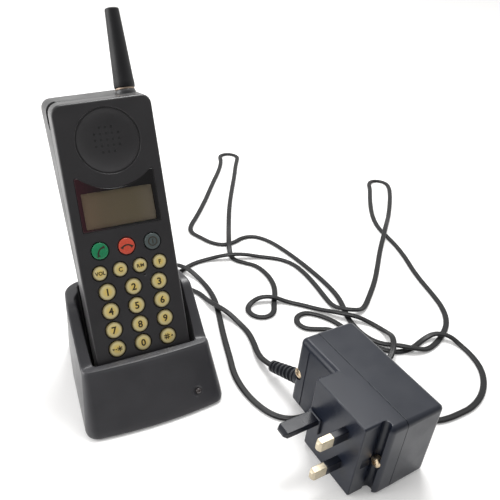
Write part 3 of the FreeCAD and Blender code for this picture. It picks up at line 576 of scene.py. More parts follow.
# Steps of the digit keys across and down, heights of the rows, and radii. A key's top stands out
# by KEY_TOP at its centre and by KEY_DOME less at its rim.
KEY_STEP = (14.9, 10.85)
DIGIT_ROW = 57
CALL_ROW = 80.0
SMALL_ROW = 67.95
SMALL_AT = (-17.1, -5.7, 5.7, 17.1)
DIGIT_R = 4.5
SMALL_R = 3.9
KEY_TOP = 0.9
KEY_DOME = 0.45
KEY_STEPS = 48
# The earpiece's height and radius, and the display window's sides, ends and corner radius.
EAR_AT = 138.2
EAR_R = 16.9
WINDOW_AT = (-19.8, 19.8, 92.1, 111.7, 0.5)


def swell(z):
    """Thickness at a height: slim below, growing in a line above, the turn eased by a hyperbola."""
    over = np.asarray(z, float) - BEND_AT
    eased = (over + np.sqrt(over ** 2 + 60.0)) / 2
    return SLIM + eased * (THICK - SLIM) / (TALL - BEND_AT)


def risen(ring):
    """Lifts the top end with depth and towards the aerial's side, and the sides in share."""
    share = np.clip((ring[:, 2] - CORNER) / (TALL - 2 * CORNER), 0, 1)
    lifted = ring.copy()
    lifted[:, 2] += (RISE * ring[:, 1] / THICK + TILT * (ring[:, 0] / HALF + 1) / 2) * share
    return lifted


def key_places():
    """Name, x, height, radius, cap material and slot of every key: rows at even steps, then the
    small keys and the three call keys above them."""
    columns = (-KEY_STEP[0], 0.0, KEY_STEP[0])
    rows = [(names, columns, DIGIT_ROW - i * KEY_STEP[1], DIGIT_R)
            for i, names in enumerate(("123", "456", "789", ("star", "0", "hash")))]
    rows.append((("volume", "clear", "recall", "function"), SMALL_AT, SMALL_ROW, SMALL_R))
    places = [(name, x, height, radius, CREAM, "key_cream")
              for names, at, height, radius in rows for name, x in zip(names, at)]
    call = (("send", GREEN, "key_green"), ("end", RED, "key_red"), ("power", GREY, "key_grey"))
    for x, (name, cap, slot) in zip(columns, call):
        places.append((name, x, CALL_ROW, DIGIT_R, cap, slot))
    return places


def key_well(x, z, radius):
    """Cutter of a key's well: a soft chamfer at the face, then a straight bore."""
    gap = 0.28
    profile = [(radius + 0.92, -1), (radius + 0.92, -0.02), (radius + 0.7, 0.14),
               (radius + 0.46, 0.42), (radius + gap, 0.8), (radius + gap, 4.6)]
    return turned(profile, (x, 0, z), steps=KEY_STEPS)


def lens_outline(grow, steps=25):
    """The display lens: square below, a hollow arc above that starts a little inside the sides,
    its four corners just eased."""
    half, low, high, dip = 22 + grow, 90.9 - grow, 120.2 + grow, 112.6 + grow
    reach = half - 1.6
    sag = high - dip
    radius = (reach ** 2 + sag ** 2) / (2 * sag)
    span = math.asin(reach / radius)
    angle = np.linspace(span, -span, steps)
    arc = np.stack([radius * np.sin(angle), dip + radius * (1 - np.cos(angle))], -1)
    corners = rounded([(-half, low), (half, low), (half, high), (-half, high)],
                      [0.8, 0.8, 0.7, 0.7], 4)
    return np.concatenate([corners[:12], arc, corners[12:]])


def earpiece_dish():
    """Cutter of the earpiece: a bowl whose depth falls with the cube of the radius, inside a
    narrow groove."""
    deep, climb = 2.5, 1.9
    bowl = [(r, deep - climb * (r / EAR_R) ** 3) for r in np.linspace(0.5, EAR_R, 18)]
    rim = [(17.05, 0.62), (17.2, 1.0), (17.8, 1.0), (17.95, 0.3), (18.15, 0.03), (18.3, -0.04),
           (18.3, -1)]
    return turned(bowl + rim, (0, 0, EAR_AT), steps=96)


def ear_holes():
    """Cutters of the sound holes: a square grid of round bores without its four corners."""
    step, radius, lifted = 3.3, 0.72, 0.6
    holes = []
    for row, count in enumerate((3, 5, 5, 5, 3)):
        for i in range(count):
            at = ((i - (count - 1) / 2) * step, 0, EAR_AT + lifted + (2 - row) * step)
            holes.append(turned([(radius, -1), (radius, 4)], at, steps=16))
    return holes


def cover_rings(profile):
    """Rings of the handset's outline, one for each (inset, depth) pair."""
    return [risen(facing(rect(*SIDES, CORNER, inset), depth)) for inset, depth in profile]


def strap_slot():
    """Cutter of the strap slot: a box section carried round the upper left corner."""
    steps = 12
    corner = rect(-HALF, HALF, 0, TALL + RISE * 0.35, CORNER, 0, steps)[-steps:]
    path = np.concatenate([[(-19.5, corner[0, 1])], corner, [(-HALF, 151.0)], [(-HALF, 147.6)]])
    centre = np.array([-22.0, 153.0])
    inward = centre - path
    inward /= np.linalg.norm(inward, axis=1)[:, None]
    inner, outer = path + inward * 4.2, path - inward * 2.5
    backs = np.concatenate([[11.0], np.full(len(corner), 13.6), [13.4, 11.8]])
    front = SPLIT - 0.1
    rings = [[(o[0], front, o[1]), (o[0], back, o[1]), (i[0], back, i[1]), (i[0], front, i[1])]
             for o, i, back in zip(outer, inner, backs)]
    return loft(rings)


def make_front_cover():
    """Front cover: the outline carried from the joint to the face over a rounded front edge."""
    profile = [(0.45, SPLIT), (0.16, SPLIT - 0.12), (0, SPLIT - 0.45), (0, 6.0), (0, 3.5)]
    profile += quarter(1.15, 7)
    thing = mesh_object("front_cover_moulding", loft(cover_rings(profile)), leant)
    lens_pocket = [facing(lens_outline(0.2), y) for y in (-1.0, 1.5)]
    wells = [key_well(x, z, radius) for _, x, z, radius, _, _ in key_places()]
    carve(thing, wells + [earpiece_dish(), loft(lens_pocket)], leant)
    dent = [(0.95, -1), (0.95, -0.02), (0.6, 0.3), (0.25, 0.8), (0.1, 0.85)]
    carve(thing, ear_holes() + [turned(dent, (7.5, 0, 62.2), steps=20)], leant)
    finished(thing, HANDSET, "handset", ["front_cover"])


def make_back_shell():
    """Back shell: the outline carried back to the sloped rear face over a rounded edge."""
    rings = []
    base = resampled(rect(*SIDES, CORNER), 4.0)

    def ring(inset, depth_of):
        """The outline pulled in by an inset, at a depth that depends on the height."""
        outline = pulled_in(base, SIDES, CORNER, inset)
        return risen(facing(outline, depth_of(outline[:, 1])))

    for inset, depth in ((0.45, SPLIT), (0.16, SPLIT + 0.12), (0, SPLIT + 0.45)):
        rings.append(ring(inset, lambda z, d=depth: d))
    for share in (0.3, 0.7):
        rings.append(ring(0, lambda z, s=share: SPLIT + 0.6 + s * (swell(z) - 2.2 - SPLIT - 0.6)))
    for inset, distance in quarter(2.0, 7):
        rings.append(ring(inset, lambda z, d=distance: swell(z) - d))
    rear = rings[-2]
    for share in (0.75, 0.5, 0.25, 0.02):
        rings.append(rear * (share, 1, 1))
    thing = mesh_object("back_shell_moulding", loft(rings), leant)
    carve(thing, [strap_slot()], leant)
    finished(thing, HANDSET_BACK, "handset", ["back_shell"])


def make_lens():
    """Lens: a black border with a softened edge round a clear window over the panel."""
    rings = [facing(lens_outline(0.0), 1.3), facing(lens_outline(0.0), 0.2)]
    rings += [facing(lens_outline(-i), d - 0.25) for i, d in quarter(0.5, 5)]
    border = mesh_object("display_border", loft(rings), leant)

    def slab(*sections):
        """The window's outline between two depths, each with its own inset."""
        return loft([facing(rect(*WINDOW_AT, inset), depth) for inset, depth in sections])

    carve(border, [slab((-0.1, -1.0), (0, 2.0))], leant)
    finished(border, BEZEL, "handset", ["display_lens"])
    pane = mesh_object("display_window", slab((0.02, -0.24), (0.02, 0.5)), leant)
    finished(pane, WINDOW, "handset")
    panel = mesh_object("display_panel", slab((0.01, 0.9), (0.01, 1.28)), leant)
    finished(panel, DISPLAY, "handset")


# ---------------------------------------------------------------- keys and legends
# Width of the drawn marks' lines, their scale, the digits' size, and the words with theirs.
LINE = 0.48
MARK_SCALE = 1.2
DIGIT_SIZE = 5.4
WORDS = {"volume": ("VOL", 2.9), "clear": ("C", 3.4), "recall": ("R/M", 2.6),
         "function": ("F", 3.4)}


def stroke(path, width, closed=False):
    """A flat band of a given width along a path of (x, z) points, as (points, faces)."""
    path = np.asarray(path, float)
    if closed:
        ahead = np.roll(path, -1, 0) - np.roll(path, 1, 0)
    else:
        ahead = np.gradient(path, axis=0)
    ahead /= np.linalg.norm(ahead, axis=1)[:, None]
    count = len(path)
    normal = np.stack([-ahead[:, 1], ahead[:, 0]], -1)
    normal = normal * np.broadcast_to(width, count)[:, None] / 2
    points = np.concatenate([path + normal, path - normal])
    ends = [(i, (i + 1) % count) for i in range(count if closed else count - 1)]
    return points, [[i, i + count, j + count, j] for i, j in ends]


def receiver(turn):
    """The mark of a telephone receiver, turned by an angle: an arc whose width grows with the
    fifth power of the distance from its middle, so that its two ends are thicker."""
    count, radius, drop = 15, 3.0, 2.4
    angle = np.linspace(math.radians(148), math.radians(32), count)
    path = np.stack([radius * np.cos(angle), radius * np.sin(angle) - drop], -1)
    c, s = math.cos(turn), math.sin(turn)
    path = path @ np.array([[c, s], [-s, c]])
    width = 0.7 + 0.95 * np.abs(np.linspace(-1, 1, count)) ** 5
    return [stroke(path, width)]


def power_mark():
    """The mark of the power key: a ring with an upright bar at its middle."""
    count, radius = 28, 2.0
    angle = np.arange(count) * 2 * math.pi / count
    ring = np.stack([radius * np.cos(angle), radius * np.sin(angle)], -1)
    return [stroke(ring, 0.5, True), stroke([(0, -1.15), (0, 0), (0, 1.15)], 0.55)]


def star_mark():
    """The star: three bars crossed at even angles, with a dash and an arrowhead at its left."""
    at, reach = 1.0, 1.3
    arms = [(math.cos(a), math.sin(a)) for a in np.radians((30, 90, 150))]
    bars = [stroke([(at - reach * c, -reach * s), (at, 0), (at + reach * c, reach * s)], LINE)
            for c, s in arms]
    dash = stroke([(-1.1, 0.0), (-0.7, 0.0), (-0.3, 0.0)], LINE)
    arrow = (np.array([(-2.6, 0.45), (-1.3, 0.45), (-1.95, -0.55)]), [[0, 2, 1]])
    return bars + [dash, arrow]


def hash_mark():
    """The hash: two level bars and two slightly leaning ones, with an arrowhead at its right."""
    high, lean = 1.35, 0.1
    bars = []
    for offset in (-0.5, 0.5):
        at = offset - 0.7
        bars.append(stroke([(-2.1, offset), (-0.8, offset), (0.7, offset)], LINE))
        bars.append(stroke([(at - lean, -high), (at, 0), (at + lean, high)], LINE))
    arrow = (np.array([(1.2, -0.35), (2.5, -0.35), (1.85, 0.6)]), [[0, 1, 2]])
    return bars + [arrow]


def draped(points, faces, radius, at):
    """A flat mark cut finer, laid on a key's dome and made a thin closed slab: one layer just
    above the dome, one sunk into it, joined round the mark's edges."""
    work = bmesh.new()
    corners = [work.verts.new((x, 0.0, z)) for x, z in points]
    for face in faces:
        work.faces.new([corners[i] for i in face])
    bmesh.ops.remove_doubles(work, verts=work.verts[:], dist=1e-5)
    bmesh.ops.triangulate(work, faces=work.faces[:])
    bmesh.ops.subdivide_edges(work, edges=work.edges[:], cuts=2, use_grid_fill=True)
    work.verts.index_update()
    flat_points = np.array([v.co for v in work.verts])
    sheet = [[v.index for v in face.verts] for face in work.faces]
    rim = [[v.index for v in edge.verts] for edge in work.edges if len(edge.link_faces) == 1]
    work.free()
    x, _, z = flat_points.T
    depth = dome(np.hypot(x, z), radius)
    layers = [np.stack([x + at[0], depth + sunk, z + at[1]], -1) for sunk in (-0.035, 0.08)]
    count = len(flat_points)
    under = [[i + count for i in face[::-1]] for face in sheet]
    sides = [[a, b, b + count, a + count] for a, b in rim]
    return np.concatenate(layers), sheet + under + sides


def lettering(text, size):
    """Text as flat (x, z) points and faces, centred on its own bounds."""
    curve = bpy.data.curves.new("legend", "FONT")
    curve.body = text
    curve.size = size
    curve.offset = 0.022 + 0.026 * size
    curve.resolution_u = 3
    points, faces = filled(curve)
    points = points[:, :2]
    return [(points - (points.max(0) + points.min(0)) / 2, faces)]


MARKS = {"star": star_mark, "hash": hash_mark, "power": power_mark,
         "send": lambda: receiver(math.radians(52)), "end": lambda: receiver(0.0)}


def dome(r, radius):
    """Depth of a key's top at a distance r from its centre: a shallow bowl turned outwards."""
    return -KEY_TOP + KEY_DOME * (r / radius) ** 2


def make_key(name, x, z, radius, cap, slot):
    """Key cap: domed top, rounded shoulder and straight side, with its legend on the top."""
    ease = 0.35
    inner = radius - ease
    top = [(r, dome(r, radius)) for r in np.linspace(0.2, inner, 9)]
    edge = dome(inner, radius)
    shoulder = [(inner + ease * math.sin(a), edge + 0.4 * (1 - math.cos(a)))
                for a in np.radians((25, 50, 75, 90))]
    profile = top + shoulder + [(radius, 1.6), (radius, 2.6)]
    thing = mesh_object("key_cap_" + name, turned(profile, (x, 0, z), steps=KEY_STEPS), leant)
    # Share of the radius at each point, from which the painted rim highlight and edge shade are
    # coloured.
    rim = np.repeat([r / radius for r, _ in profile], KEY_STEPS)
    thing.data.attributes.new("rim", "FLOAT", "POINT").data.foreach_set("value", rim)
    finished(thing, cap, "key_" + name, ["key_" + name], 50, False)
    if name in MARKS:
        parts = [(np.asarray(points) * MARK_SCALE, faces) for points, faces in MARKS[name]()]
    else:
        text, size = WORDS.get(name, (name, DIGIT_SIZE))
        parts = lettering(text, size)
    slabs = [draped(points, faces, radius, (x, z)) for points, faces in parts]
    legend = mesh_object("legend_" + name, joined(slabs), leant)
    finished(legend, INK, "key_" + name, (), 60, False)


# ---------------------------------------------------------------- aerial, battery
def make_aerial():
    """Aerial: collar, bright ring and a rubber sheath that tapers to a flat, softened tip, each a
    profile turned about the same upright axis."""
    at = (18.0, 15.0, 162.0)
    up = (0, 0, 1)
    collar = [(6.0, -3.5), (6.05, 0.0), (6.0, 1.9), (5.85, 2.7), (5.5, 3.25), (5.0, 3.4),
              (3.0, 3.4)]
    thing = mesh_object("aerial_collar", turned(collar, at, up, 64), leant)
    finished(thing, COLLAR, "handset", ["aerial_nut"])
    ring = [(3.0, 3.38), (5.2, 3.4), (5.4, 3.5), (5.45, 3.9), (5.4, 4.3), (5.2, 4.4), (3.0, 4.42)]
    thing = mesh_object("aerial_bright_ring", turned(ring, at, up, 64), leant)
    finished(thing, GOLD, "handset", ["aerial_ring"])
    foot = 4.42
    heights = (0.0, 0.12, 0.5, 2.2, 3.6, 4.4, 8, 16, 24, 32, 38, 42.3, 42.9, 43.25, 43.4, 43.4)
    radii = (5.2, 5.65, 5.88, 5.92, 5.86, 5.72, 5.55, 5.2, 4.85, 4.48, 4.2, 4.0, 3.88, 3.6, 3.2,
             0.6)
    sheath = [(radius, foot + height) for radius, height in zip(radii, heights)]
    thing = mesh_object("aerial_sheath", turned(sheath, at, up, 64), leant)
    finished(thing, MAST, "handset", ["aerial_mast"], 60)


def make_battery():
    """Battery pack: front face follows the body, flat rounded back, grip grooves and a latch."""
    sides, turn, back = (-24.3, 24.3, 9.5, 112.0), 3.0, 25.0
    base = resampled(rect(*sides, turn), 4.0)

    def ring(inset, depth_of):
        """The outline pulled in by an inset, at a depth that depends on the height."""
        outline = pulled_in(base, sides, turn, inset)
        return facing(outline, depth_of(outline[:, 1]))

    rings = [ring(0.3, lambda z: swell(z) + 0.3), ring(0, lambda z: swell(z) + 0.6)]
    rings.append(ring(0, lambda z: (swell(z) + 24.0) / 2))
    rings += [ring(i, lambda z, d=d: np.full(len(z), back - d)) for i, d in quarter(1.3, 5)]
    thing = mesh_object("battery_moulding", loft(rings), leant)
    recess = [loft([facing(rect(-8.3, 8.3, 102.3, 125.0, 0.8), y) for y in (22.6, 30.0)])]
    for z in (92.0, 94.4, 96.8, 99.2):
        recess.append(loft([facing(rect(-12, 12, z - 0.5, z + 0.5, 0.4), y) for y in (24.6, 26.0)]))
    carve(thing, recess, leant)
    finished(thing, PACK, "battery", ["battery_case"])
    slab = [facing(rect(-8, 8, 104.6, 112.6, 0.7, i), y)
            for i, y in ((0.2, 22.9), (0, 23.1), (0, 24.7), (0.25, 25.0))]
    ribs = [loft([facing(rect(-6, 6, z - 0.35, z + 0.35, 0.3, i), y)
                  for i, y in ((0, 24.6), (0, 25.4), (0.2, 25.7))])
            for z in (106.4, 107.6, 108.8, 110.0)]
    thing = mesh_object("battery_thumb_slide", loft(slab), leant)
    carve(thing, ribs, leant, "UNION")
    finished(thing, PACK, "battery_latch", ["battery_latch"])


# ---------------------------------------------------------------- cradle
# The front's depth at the table and its slope, the height of the front rim, and the radii of the
# outer lip and of the pocket's.
FRONT_AT = -64.5
FRONT_LEAN = math.radians(31.5)
FRONT_SLOPE = math.tan(FRONT_LEAN)
RIM_Z = 33.3
LIP = 1.3
POCKET_LIP = 1.0
# Height, half width in front, the front's bow, half widths along the side and at the rear, the
# depths of the side's turn and of the rear, radii of the front and rear corners, tuck underneath.
LEVELS = (
    (0.8, 39.8, 5.0, 34.6, 29.1, -9.0, 28.0, 6.0, 8.0, 1.4),
    (1.6, 40.7, 5.1, 35.5, 30.0, -9.0, 28.0, 6.3, 8.0, 0.45),
    (3.2, 41.2, 5.15, 36.0, 30.5, -9.0, 28.0, 6.5, 8.0, 0.0),
    (RIM_Z, 37.0, 2.5, 36.6, 31.5, -14.0, 18.0, 3.8, 11.0, 0.0),
    (63.0, 36.8, 1.5, 36.5, 33.0, -12.0, 8.0, 3.8, 12.0, 0.0),
)
# The cord gland's x and height, the pocket's half widths in front and at the rear, its depths, and
# the top surface as heights over depths.
GLAND_AT = (2.0, 6.5)
POCKET_X = 30.6
POCKET_REAR_X = 26.6
POCKET_DEPTHS = (-2.7, 26.4)
TURNS = rounded([(-140, RIM_Z), (-37, RIM_Z), (-13.5, 58), (90, 57), (90, 0), (-140, 0)],
                [1, 3, 10, 1, 1, 1], 8)[8:24]
SKY = np.concatenate([[(-140, RIM_Z)], TURNS, [(90, 57.0)]])


def sky(y):
    """Height of the top surface at a depth: level front rim, climbing sides, level rear."""
    return np.interp(y, SKY[:, 0], SKY[:, 1])


def cradle_ring(level):
    """Plan outline at one level: bowed front, rounded corners, sides drawing in to the rear."""
    z, front_half, bow, side_half, rear_half, side_at, rear, corner, rear_corner, tuck = level
    slope = bow / front_half
    bow_radius, side_radius = 0.8 * front_half / slope, 30
    apex = FRONT_AT + z * FRONT_SLOPE + tuck - bow_radius * (math.sqrt(1 + slope ** 2) - 1)
    rear -= tuck
    plan = [(0, apex), (front_half, apex + bow), (side_half, side_at), (rear_half, rear),
            (-rear_half, rear), (-side_half, side_at), (-front_half, apex + bow)]
    radii = [bow_radius, corner, side_radius, rear_corner, rear_corner, side_radius, corner]
    return flat(rounded(plan, radii, 14), z)


def wall_lines():
    """The outer wall's rulings through matching points of all levels, with more of them on the
    straight sides, so that none are further apart at the rim than the gap."""
    gap, rim_level = 1.6, 3
    rings = np.array([cradle_ring(level) for level in LEVELS])
    ahead = np.roll(rings, -1, 1)
    runs = np.linalg.norm(ahead[rim_level] - rings[rim_level], axis=1)
    columns = []
    for i, run in enumerate(runs):
        count = max(1, int(math.ceil(run / gap)))
        for share in np.arange(count) / count:
            columns.append(rings[:, i] * (1 - share) + ahead[:, i] * share)
    return np.array(columns).transpose(1, 0, 2)


def on_wall(lines, z):
    """Points of the rulings at heights z, one for each: the lowest level's points, moved on by
    the share of each step between levels that lies below z."""
    points = lines[0]
    for low, high in zip(lines[:-1], lines[1:]):
        share = np.clip((z - low[:, 2]) / (high[:, 2] - low[:, 2]), 0, 1)[:, None]
        points = points + share * (high - low)
    return points


def pocket_outline():
    """The pocket in the handset's axes (across, depth): wider in front, narrower behind."""
    (front, deep), half, narrow = POCKET_DEPTHS, POCKET_X, POCKET_REAR_X
    plan = [(half, front), (half, 15), (narrow, 20), (narrow, deep),
            (-narrow, deep), (-narrow, 20), (-half, 15), (-half, front)]
    return resampled(rounded(plan, [3.2, 8, 6, 3.2, 3.2, 6, 8, 3.2], 8), 0.8)


def pocket_heights(outline):
    """Height along the handset's axis at which each pocket line meets the top surface, found by
    halving the span that it must lie in."""
    low, high = np.full(len(outline), -5.0), np.full(len(outline), 90.0)
    for _ in range(40):
        middle = (low + high) / 2
        point = leant(np.column_stack([outline, middle])) / MM
        below = point[:, 2] < sky(point[:, 1])
        low, high = np.where(below, middle, low), np.where(below, high, middle)
    return low


def matched(outer):
    """For each outer rim point, the pocket's outline point in the same direction in plan."""
    outline = pocket_outline()
    rim = leant(np.column_stack([outline, pocket_heights(outline)])) / MM
    centre = np.array([0.0, -16.0])
    angle = np.arctan2(rim[:, 1] - centre[1], rim[:, 0] - centre[0])
    order = np.argsort(angle)
    angle = angle[order]
    wanted = np.arctan2(outer[:, 1] - centre[1], outer[:, 0] - centre[0])
    wrapped = np.concatenate([angle - 2 * math.pi, angle, angle + 2 * math.pi])
    return np.stack([np.interp(wanted, wrapped, np.tile(outline[order, k], 3)) for k in (0, 1)], -1)


def make_cradle():
    """Cradle: outer wall up its rulings to the top surface, over a rounded lip, across the rim,
    over the pocket's lip and down its wall to the floor; closed underneath."""
    lines = wall_lines()
    top = np.full(lines.shape[1], RIM_Z)
    for _ in range(60):
        point = on_wall(lines, top)
        top = top + 0.5 * (sky(point[:, 1]) - top)

    def wall_at(z):
        """The outer wall's ring at one height."""
        return on_wall(lines, np.full(len(top), z))

    rings = []
    towards = np.array([0.0, -14.0]) - wall_at(3.0)[:, :2]
    towards /= np.linalg.norm(towards, axis=1)[:, None]
    for z, pull in ((3.2, 2.6), (0.85, 2.4), (0.8, 2.2)):
        ring = wall_at(z)
        ring[:, :2] += towards * pull
        ring[:, 2] = z
        rings.append(ring)
    rings += [wall_at(z) for z in (0.8, 1.6, 3.0, 6.0)]
    for share in np.linspace(0.15, 1.0, 9):
        rings.append(on_wall(lines, 6.0 + share * (top - LIP - 6.0)))
    outer = on_wall(lines, top)
    inner = matched(outer)
    heights = pocket_heights(inner)
    inner_top = leant(np.column_stack([inner, heights])) / MM
    across = inner_top - outer
    width = np.linalg.norm(across[:, :2], axis=1)[:, None]
    across = across / width
    rim = [(outer + across * inset, drop) for inset, drop in quarter(LIP, 5)[1:]]
    rim += [(outer + across * (LIP + share * (width - LIP - POCKET_LIP)), 0)
            for share in (0.35, 0.7)]
    rim += [(inner_top - across * inset, drop) for inset, drop in quarter(POCKET_LIP, 5)[::-1]]
    for ring, drop in rim:
        ring[:, 2] = sky(ring[:, 1]) - drop
        rings.append(ring)

    def down(plan, height):
        """Adds the ring of a plan in the handset's axes at a height along them."""
        rings.append(leant(np.column_stack([plan, np.broadcast_to(height, len(plan))])) / MM)

    foot = 8.0
    for share in (0.8, 0.5, 0.2, 0.0):
        down(inner, foot + share * (heights - LIP - foot))
    seat = np.clip(inner, (-28.0, -0.6), (28.0, 26.3))
    down(seat, 7.0)
    down(seat, -0.35)
    thing = mesh_object("cradle_moulding", loft(rings), upright)
    out = (0, -math.cos(FRONT_LEAN), math.sin(FRONT_LEAN))
    lamp_z = 10.8
    at = np.array([24.8, FRONT_AT + lamp_z * FRONT_SLOPE + 1.05, lamp_z])
    bowl = [(0.4, -0.75), (1.6, -0.7), (2.6, -0.45), (3.5, 0.0), (4.1, 0.6), (4.1, 3)]
    gland_bore = turned([(3.5, -8), (3.5, 6)], (GLAND_AT[0], 28.0, GLAND_AT[1]), (0, 1, 0), 32)
    carve(thing, [turned(bowl, at, out, 40), gland_bore], upright)
    finished(thing, CRADLE, "cradle", ["cradle_shell"], 40)
    lens = [(1.65, -3.0), (1.65, -0.35), (1.55, 0.1), (1.2, 0.5), (0.6, 0.75), (0.15, 0.8)]
    thing = mesh_object("charge_lamp_lens", turned(lens, at, out, 32), upright)
    finished(thing, LAMP, "cradle", ["charge_lamp"], 60)


def ribbed(start, end, r0, r1, ribs, deep):
    """Boot along a straight axis: a taper from r0 to r1 with rounded ribs, which a clipped cosine
    wave cuts into it between its two plain ends, on a narrower root."""
    start, end = np.asarray(start, float), np.asarray(end, float)
    length = np.linalg.norm(end - start)
    s = np.linspace(0, 1, ribs * 16 + 12)
    taper = r0 + (r1 - r0) * s
    first, last = 0.12, 0.92
    wave = np.clip(0.5 - 1.1 * np.cos(2 * math.pi * (s - first) / (last - first) * ribs), 0, 1)
    inside = (s > first) & (s < last)
    radius = taper - np.where(inside, deep * (1 - wave), 0.0)
    radius[-1] *= 0.8
    root = [(3.08, -4.0), (3.08, -0.1)]
    profile = np.concatenate([root, np.stack([radius, s * length], -1)])
    return turned(profile, start, (end - start) / length, 40)


def make_boots():
    """Strain reliefs: the long ribbed boot on the adapter and the short one on the cradle."""
    x, z = GLAND_AT
    long_boot = ribbed(RELIEF_ROOT, RELIEF_TIP, 4.8, 3.7, 6, 1.6)
    short_boot = ribbed((x, 26.7, z), (x, 37, z), 4.6, 2.4, 3, 0.6)
    thing = mesh_object("adapter_boot", long_boot, lying)
    finished(thing, RUBBER, "cradle", ["strain_relief"], 60)
    thing = mesh_object("cradle_boot", short_boot, upright)
    finished(thing, RUBBER, "cradle", ["cord_gland"], 60)


# ---------------------------------------------------------------- adapter
# Left, right, lower and upper side of the case, its corner radius, the depth of its seam, the pin
# block's sides, the pins' middle height, the rise of the upper side to the right, the pins'
# distance from the middle, the earth pin's place and the screws'.
CASE = (-57.6, 18.0, -2.0, 46.2)
CASE_CORNER = 3.2
SEAM = 22.0
BLOCK = (-27.4, 11.7)
MIDDLE = 23.45
DRAFT = 2.6
PIN_SPREAD = 11.1
EARTH_AT = -22.2
SCREWS_AT = ((-54.9, 11.0, 20.2), (13.5, 10.3, 21.2))


def drafted(ring):
    """Lifts the adapter's upper side in line from its left end to its right end."""
    lifted = ring.copy()
    up = np.clip((ring[:, 2] - MIDDLE) / (CASE[3] - MIDDLE), 0, 1)
    lifted[:, 2] += DRAFT * up * np.clip((ring[:, 0] - CASE[0]) / (CASE[1] - CASE[0]), 0, 1)
    return lifted


def make_adapter():
    """Adapter: deep back half, front half with its pin block, wing, grooves and screw pockets. Each
    half is the case's outline pulled in at each depth, with a fine gap at the seam."""
    x0, x1, z0, z1 = CASE
    wing, wing_edge, block_edge = 11, 3.5, 0.7

    def half(name, profile):
        """One half of the case from its (inset, depth) pairs."""
        rings = [drafted(facing(rect(x0, x1, z0, z1, CASE_CORNER, i, 8), y)) for i, y in profile]
        return mesh_object(name, loft(rings), lying)

    profile = [(0.9, SEAM), (0.9, 22.14), (0.03, 22.16), (0, 22.3), (0.3, 34.0)]
    profile += [(0.5 + i, 47.5 - d) for i, d in quarter(3.6, 8)]
    thing = half("adapter_back_moulding", profile)
    finished(thing, ADAPTER_BACK, "cradle", ["adapter_back"])

    profile = [(0.9, SEAM), (0.9, 21.86), (0.03, 21.84), (0, 21.7)]
    profile += [(i, wing + d) for i, d in quarter(wing_edge, 9)]
    thing = half("adapter_front_moulding", profile)
    a, b = BLOCK
    plug = [drafted(facing(rect(a, b, z0 + 0.01, z1 - 0.01, 1.2, i, 6), y))
            for i, y in [(0, 21.0)] + quarter(block_edge, 5)]
    carve(thing, [loft(plug)], lying, "UNION")
    label = [facing(rect(-48.5, a - 0.3, z0 - 6, z1 - 3.5, 1.0, i), y)
             for i, y in ((-0.3, 10.0), (0, 11.35))]
    carve(thing, [loft(label)], lying)
    groove = turned([(2.7, -6.0), (2.7, 60.0)], (b + 1.7, 11.3, 0), (0, 0, 1), 40)
    carve(thing, [groove], lying)
    for (x, y, z), start in zip(SCREWS_AT, (5.0, 3.4)):
        carve(thing, [turned([(3.7, start - y), (3.7, 1.5)], (x, y, z), (0, 1, 0), 40)], lying)
    carve(thing, [block(x0 - 2, x0 + 0.8, 13.0, 18.0, z - 0.5, z + 0.5, 0.3)
                  for z in (5.0, 8.0, 31, 34, 37)], lying)
    collar = [facing(rect(-27.4, -17.0, MIDDLE - 8.6, MIDDLE + 2.6, 0.8, i, 4), y)
              for i, y in ((0, 1.0), (0, -1.2), (0.4, -1.6))]
    carve(thing, [loft(collar)], lying, "UNION")
    finished(thing, ADAPTER, "cradle", ["adapter_front"])


def blade(x, z, wide, high, sections, radius=0.5, steps=5):
    """A pin along the depth axis: rounded rectangles of a given shrink at each depth."""
    sides = (x - wide / 2, x + wide / 2, z - high / 2, z + high / 2)
    return loft([facing(rect(*sides, radius, i, steps), y) for i, y in sections])


def make_pins():
    """Pins with chamfered tips, their sleeves, and the two cross-head case screws."""
    tip = [(0.42, 8.0), (0.42, -9.0), (0, -9.02), (0, -15.9), (0.12, -16.3), (0.95, -17.55),
           (1.15, -17.7)]
    for name, side in (("live_pin", -1), ("neutral_pin", 1)):
        part = blade(0, MIDDLE + side * PIN_SPREAD, 4.0, 6.35, tip)
        thing = mesh_object(name + "_blade", part, lying)
        finished(thing, BRASS, "cradle", [name], 25)
    sleeve = [(0.02, 0.6), (0.0, -8.6), (0.1, -8.95), (0.4, -9.0)]
    parts = [blade(0, MIDDLE + side * PIN_SPREAD, 4.1, 6.45, sleeve) for side in (-1, 1)]
    thing = mesh_object("pin_sleeve_pair", joined(parts), lying)
    finished(thing, PIN_BLACK, "cradle", ["pin_sleeves"])
    earth = [(0, 3.0), (0, -20.2), (0.15, -20.7), (1.2, -22.45), (1.45, -22.7)]
    thing = mesh_object("earth_pin_blade", blade(EARTH_AT, MIDDLE, 8.0, 4.0, earth), lying)
    finished(thing, PIN_BLACK, "cradle", ["earth_pin"], 25)
    head = [(0.2, 0.0), (1.2, 0.05), (2.2, 0.2), (2.85, 0.55), (3.1, 1.1), (3.1, 3.4)]
    heads = [turned(head, at, (0, 1, 0), 40) for at in SCREWS_AT]
    thing = mesh_object("adapter_screw_heads", joined(heads), lying)
    for wide, high in ((3.0, 0.8), (0.8, 3.0)):
        carve(thing, [blade(x, z, wide, high, [(0, y - 1), (0.1, y + 0.8)], 0.25, 3)
                      for x, y, z in SCREWS_AT], lying)
    finished(thing, SCREW, "cradle", ["adapter_screws"], 30)


# ---------------------------------------------------------------- plain nodes
PLAIN = {
    "display_module": DARK, "earpiece_speaker": DARK, "microphone": DARK, "keypad_mat": MAT,
    "main_board": BOARD, "charge_board": BOARD, "rectifier_board": BOARD, "charge_pads": GOLD,
    "charge_contacts": GOLD, "case_screws": STEEL, "base_screws": STEEL, "battery_cells": CELL,
    "cradle_base": CRADLE, "cradle_feet": FOOT, "transformer_core": STEEL,
    "transformer_winding": COPPER,
}


